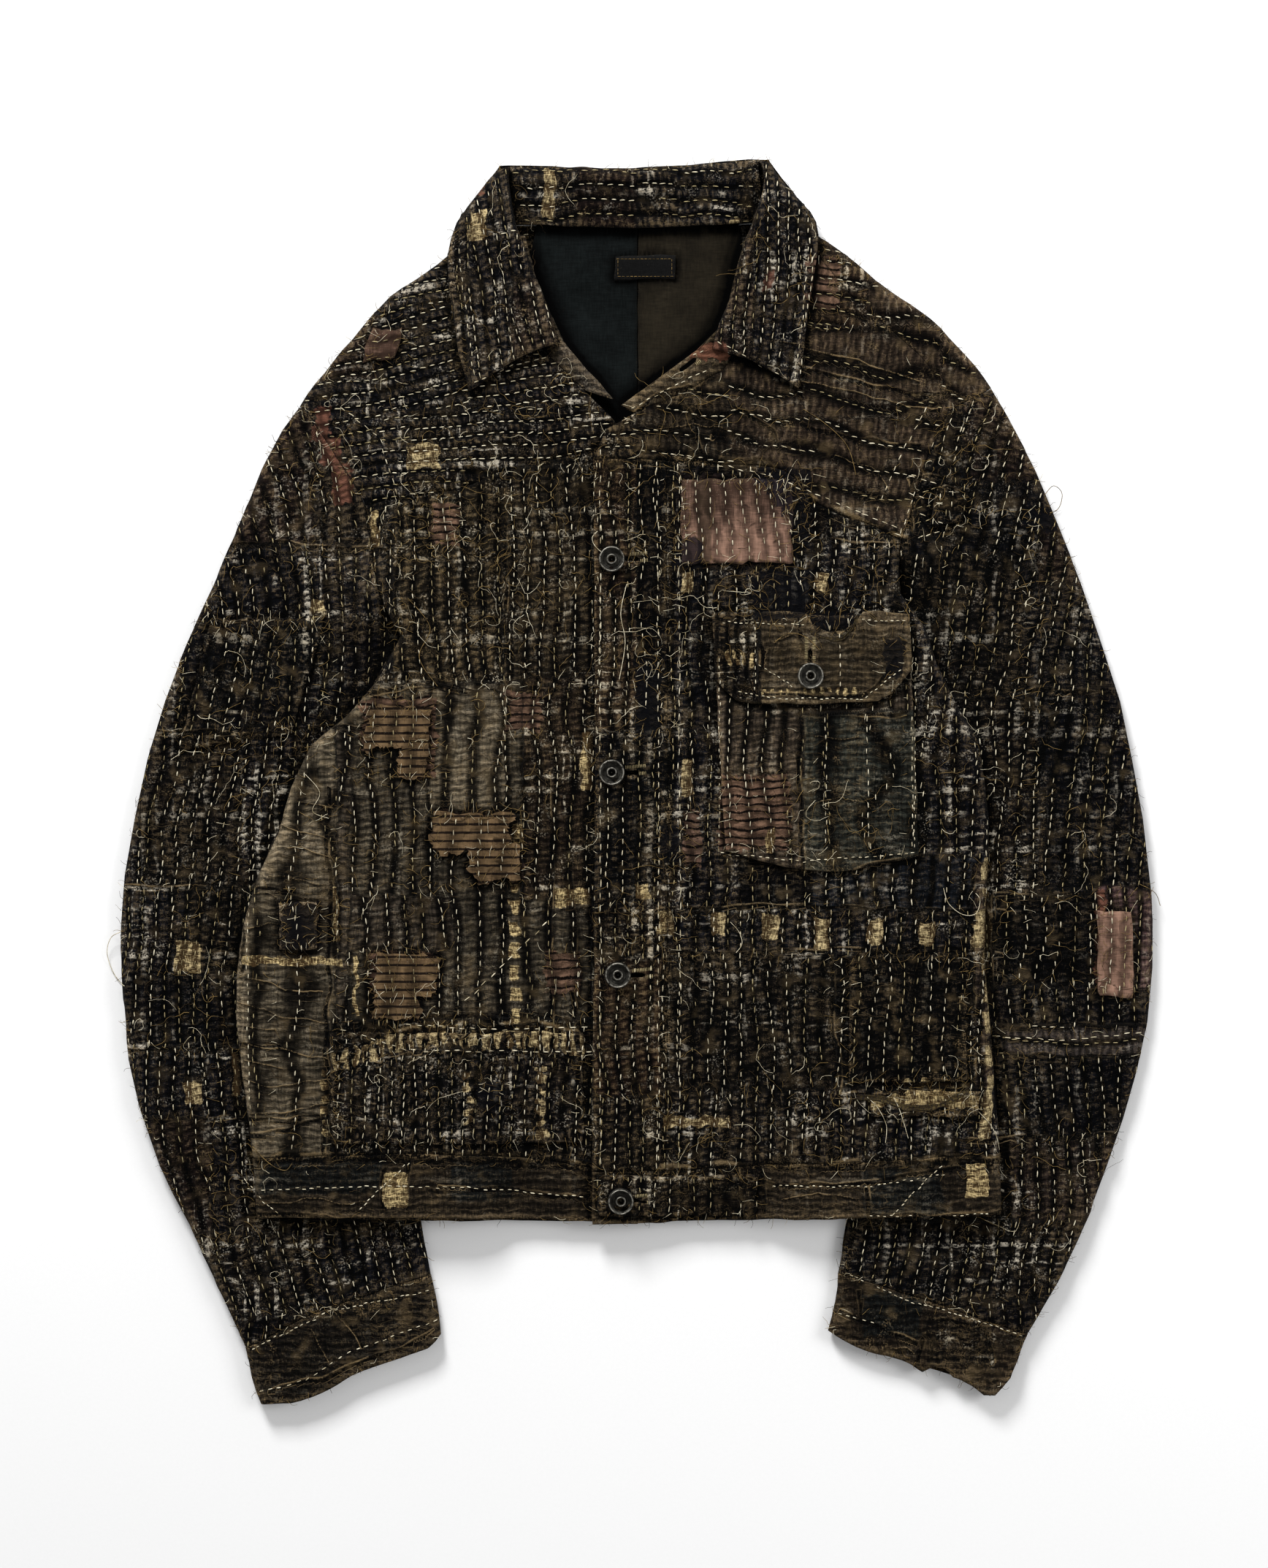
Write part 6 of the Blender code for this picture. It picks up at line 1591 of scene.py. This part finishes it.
# %% Long loose ends and tangles: a middle and a spread on the chart, and twice the number of ends
TANGLES = [
    (600, 780, 90, 130, 150), (720, 720, 70, 130, 110), (880, 740, 60, 110, 90), (1010, 830, 110, 40, 80),
    (720, 830, 70, 70, 60), (1150, 800, 90, 40, 60), (880, 900, 60, 80, 60), (890, 1250, 70, 60, 70),
    (1270, 1500, 70, 30, 50), (620, 1480, 120, 70, 70), (1000, 1550, 150, 40, 60), (1290, 960, 60, 120, 70),
    (320, 900, 90, 120, 60), (380, 1060, 80, 90, 50), (230, 1160, 60, 90, 40), (260, 1400, 70, 90, 45),
    (330, 1620, 80, 80, 45), (1330, 650, 80, 90, 60), (1450, 820, 80, 100, 50), (1480, 1100, 70, 120, 45),
    (1450, 1300, 90, 90, 40), (1440, 1640, 90, 90, 50), (450, 620, 70, 80, 45), (760, 560, 60, 50, 45),
    (950, 560, 70, 50, 60), (700, 330, 70, 90, 35), (1060, 340, 60, 100, 40), (1100, 1120, 80, 60, 45),
    (1180, 1120, 90, 60, 40), (700, 1100, 90, 150, 70), (560, 1250, 80, 120, 50), (1090, 1500, 120, 60, 50),
]
long_ends = 0
for column, row, wide, high, count in TANGLES:
    for _ in range(count // 2):
        x, y = column + dice.normal(0, wide * 0.6), row + dice.normal(0, high * 0.6)
        kind = int(dice.choice(3, p=(0.2, 0.5, 0.3)))
        heading, length = dice.uniform(0, TURN), dice.uniform(20, 60)
        radius = FUZZ_THREAD * dice.uniform(0.7, 1.4)
        long_ends += lay_thread(x, y, heading, length, radius, 0.0012, 0.8, 9, kind)
print("long ends", long_ends)

# %% [markdown]
# ## The threads one remembers
# A few long ends are large enough to be seen from across a room: a white curl by the top button, loops
# off the sleeves, and a torn ochre strip whose weft hangs out. Each is a line on the chart, rounded
# into a curve and laid a little above the cloth.

# %% Named loops: points on the chart, yarn and radius
OFF_CLOTH = 0.012  # the height of a thread that starts off the cloth
LOOPS = [
    ([(826, 758), (815, 748), (811, 736), (818, 728)], 0, 0.00034),
    ([(1290, 1215), (1297, 1236), (1316, 1251), (1334, 1250), (1340, 1232), (1334, 1222)], 0, 0.00026),
    ([(1186, 1500), (1200, 1514), (1212, 1538), (1211, 1562)], 0, 0.00026),
    ([(1222, 1500), (1231, 1520), (1242, 1556)], 0, 0.00026),
    ([(1338, 1520), (1352, 1535), (1362, 1552), (1368, 1575)], 0, 0.00026),
    ([(164, 1276), (150, 1284), (144, 1304), (150, 1328), (160, 1344), (170, 1350)], 0, 0.00028),
    ([(1432, 676), (1444, 664), (1456, 674), (1452, 694), (1438, 702)], 1, 0.00026),
    ([(1000, 1262), (1012, 1276), (1016, 1292), (1008, 1304)], 0, 0.00022),
    ([(858, 800), (850, 840), (856, 880), (848, 930)], 0, 0.00026),
    ([(340, 1560), (370, 1590), (392, 1600), (402, 1590)], 1, 0.00026),
    ([(1560, 1210), (1582, 1222), (1590, 1240)], 1, 0.00024),
    ([(1100, 560), (1130, 580), (1160, 610), (1172, 650)], 1, 0.00024),
    ([(560, 820), (590, 860), (575, 900), (600, 940)], 1, 0.00026),
    ([(1060, 880), (1078, 868), (1100, 872), (1120, 890)], 1, 0.00024),
    ([(420, 1060), (440, 1085), (430, 1110), (452, 1120)], 0, 0.00022),
]


def rounded(line, count):
    """Points along a smooth curve through the line's own points."""
    line = [line[0]] + list(line) + [line[-1]]
    made = []
    for i in range(1, len(line) - 2):
        a, b, c, d = (np.array(line[i + k], float) for k in (-1, 0, 1, 2))
        for t in np.linspace(0, 1, count, endpoint=False):
            bend, twist = 2 * a - 5 * b + 4 * c - d, 3 * b - a - 3 * c + d
            made.append(0.5 * (2 * b + (c - a) * t + bend * t * t + twist * t ** 3))
    return made + [np.array(line[-1], float)]


for line, kind, radius in LOOPS:
    path, owner = [], None
    for column, row in rounded(line, 6):
        x, y = metres(column, row)
        found = land(x, y)
        owner = owner or (found and found[2])
        rest = found[0] if found else (path[-1][2] - 0.001 if path else OFF_CLOTH)
        path.append([x, y, max(rest, 0.0) + 0.0007])
    keep(frays, owner or "right_sleeve_upper", kind, path, np.full(len(path), radius))
print("loops", len(LOOPS))


# %% Torn strips
def torn_strip(name, line, wide, lift):
    """A ragged ribbon of twill that lies along a line on the chart."""
    middle = rounded(line, 8)
    across = (-1.0, -0.5, 0.0, 0.5, 1.0)
    corners, faces = [], []
    for i, (column, row) in enumerate(middle):
        ragged = 0.6 + 0.4 * float(hills(column, row, 7, 500)) if 0 < i < len(middle) - 1 else 0.3
        for side in across:
            x, y = metres(column, row + side * wide * ragged * 0.5)
            found = land(x, y)
            curl = abs(side) ** 2 * 0.0006 * (1 + float(hills(column, row, 9, 501)))
            corners.append([x, y, (found[0] if found else OFF_CLOTH) + lift + curl])
    for i in range(len(middle) - 1):
        for k in range(len(across) - 1):
            a = i * len(across) + k
            faces.append((a, a + 1, a + 1 + len(across), a + len(across)))
    strip = placed(name, new_mesh(name, corners, faces))
    strip.modifiers.new("thickness", "SOLIDIFY").thickness = 0.0005
    strip.data.materials.append(slots["torn_ochre"])
    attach(strip, "root")
    return strip


FRONT_STRIP = [(1170, 1500), (1205, 1502), (1240, 1514), (1280, 1512), (1305, 1500), (1325, 1490)]
FLAP_STRIP = [(1108, 866), (1128, 874), (1150, 876), (1164, 862), (1174, 842)]
sewing["left_front"].append(torn_strip("torn_strip_front", FRONT_STRIP, 11, 0.0006))
sewing["pocket_flap"].append(torn_strip("torn_strip_flap", FLAP_STRIP, 6, 0.0004))
print("torn strips of", len(FRONT_STRIP), "and", len(FLAP_STRIP), "points")

# %% Spin the frays
spin("frays", frays, (PALE_YARN, GOLD_YARN, DARK_YARN), 0.9)

# %% [markdown]
# ## Buttons
# The buttons are cast metal rings: a raised rim, a dished face and a hole with a small rivet. A turned
# shape is easiest as a profile spun round its axis. The solid keeps the size and place, and the spun
# profile adds the rims. They carry no lettering, only a fine line where lettering might run.

# %% Turn the buttons: the profile reads radius and height, both as shares of the whole
RUBBED_FROM = 0.62
BUTTON_PROFILE = [
    (0.00, 0.42), (0.07, 0.40), (0.10, 0.30), (0.13, 0.16), (0.24, 0.14), (0.26, 0.70), (0.30, 0.86),
    (0.36, 0.88), (0.41, 0.76), (0.45, 0.62), (0.60, 0.58), (0.62, 0.62), (0.64, 0.58), (0.76, 0.60),
    (0.82, 0.72), (0.86, 0.94), (0.92, 1.00), (0.97, 0.92), (1.00, 0.72), (1.00, 0.30), (0.96, 0.05),
    (0.00, 0.00),
]


def turn_button(node, steps=48):
    solid = frame["nodes"][node].data
    points = points_of(solid)
    low, high = points.min(0), points.max(0)
    faces = [f for f in solid.polygons if f.normal.z > 0.6]
    up = sum((f.normal * f.area for f in faces), Vector()).normalized()
    turn = Vector((0, 0, 1)).rotation_difference(up)
    along = (points - (low + high) / 2) @ np.array(up)
    thick, radius = along.max() - along.min(), (high - low)[:2].min() / 2
    base = Vector((low + high) / 2) + up * float(along.min())
    corners, rub, sides = [], [], []
    for r, z in BUTTON_PROFILE:
        for k in range(steps):
            a = TURN * k / steps
            spot = Vector((math.cos(a) * r * radius, math.sin(a) * r * radius, z * thick))
            corners.append(base + turn @ spot)
            rub.append(max(0.0, (z - RUBBED_FROM) / (1 - RUBBED_FROM)) if r > 0.2 else 0.5 * (r < 0.08))
    for i in range(len(BUTTON_PROFILE) - 1):
        for k in range(steps):
            a, b = i * steps + k, i * steps + (k + 1) % steps
            sides.append((a, b, b + steps, a + steps)[::-1])
    mesh = new_mesh(node + "_turned", corners, sides)
    work = bmesh.new()
    work.from_mesh(mesh)
    bmesh.ops.remove_doubles(work, verts=work.verts, dist=1e-7)
    bmesh.ops.recalc_face_normals(work, faces=work.faces)
    work.to_mesh(mesh)
    work.free()
    tree = KDTree(len(corners))
    for i, corner in enumerate(corners):
        tree.insert(corner, i)
    tree.balance()
    note(mesh, "rub", np.array([rub[tree.find(p)[1]] for p in points_of(mesh)]))
    mesh.materials.append(slots["worn_metal"])
    made = placed(node + "_turned", mesh)
    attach(made, "root")
    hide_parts(node)
    return radius, thick


for node in sorted(n for n in frame["nodes"] if "button" in n):
    print(node, "radius and thickness, mm", [round(float(v) * 1000, 2) for v in turn_button(node)])

# %% [markdown]
# ## Measuring each sheet
# Last, the flat box and the cut of every skin are worked out.

for node in skins:
    declare(node)
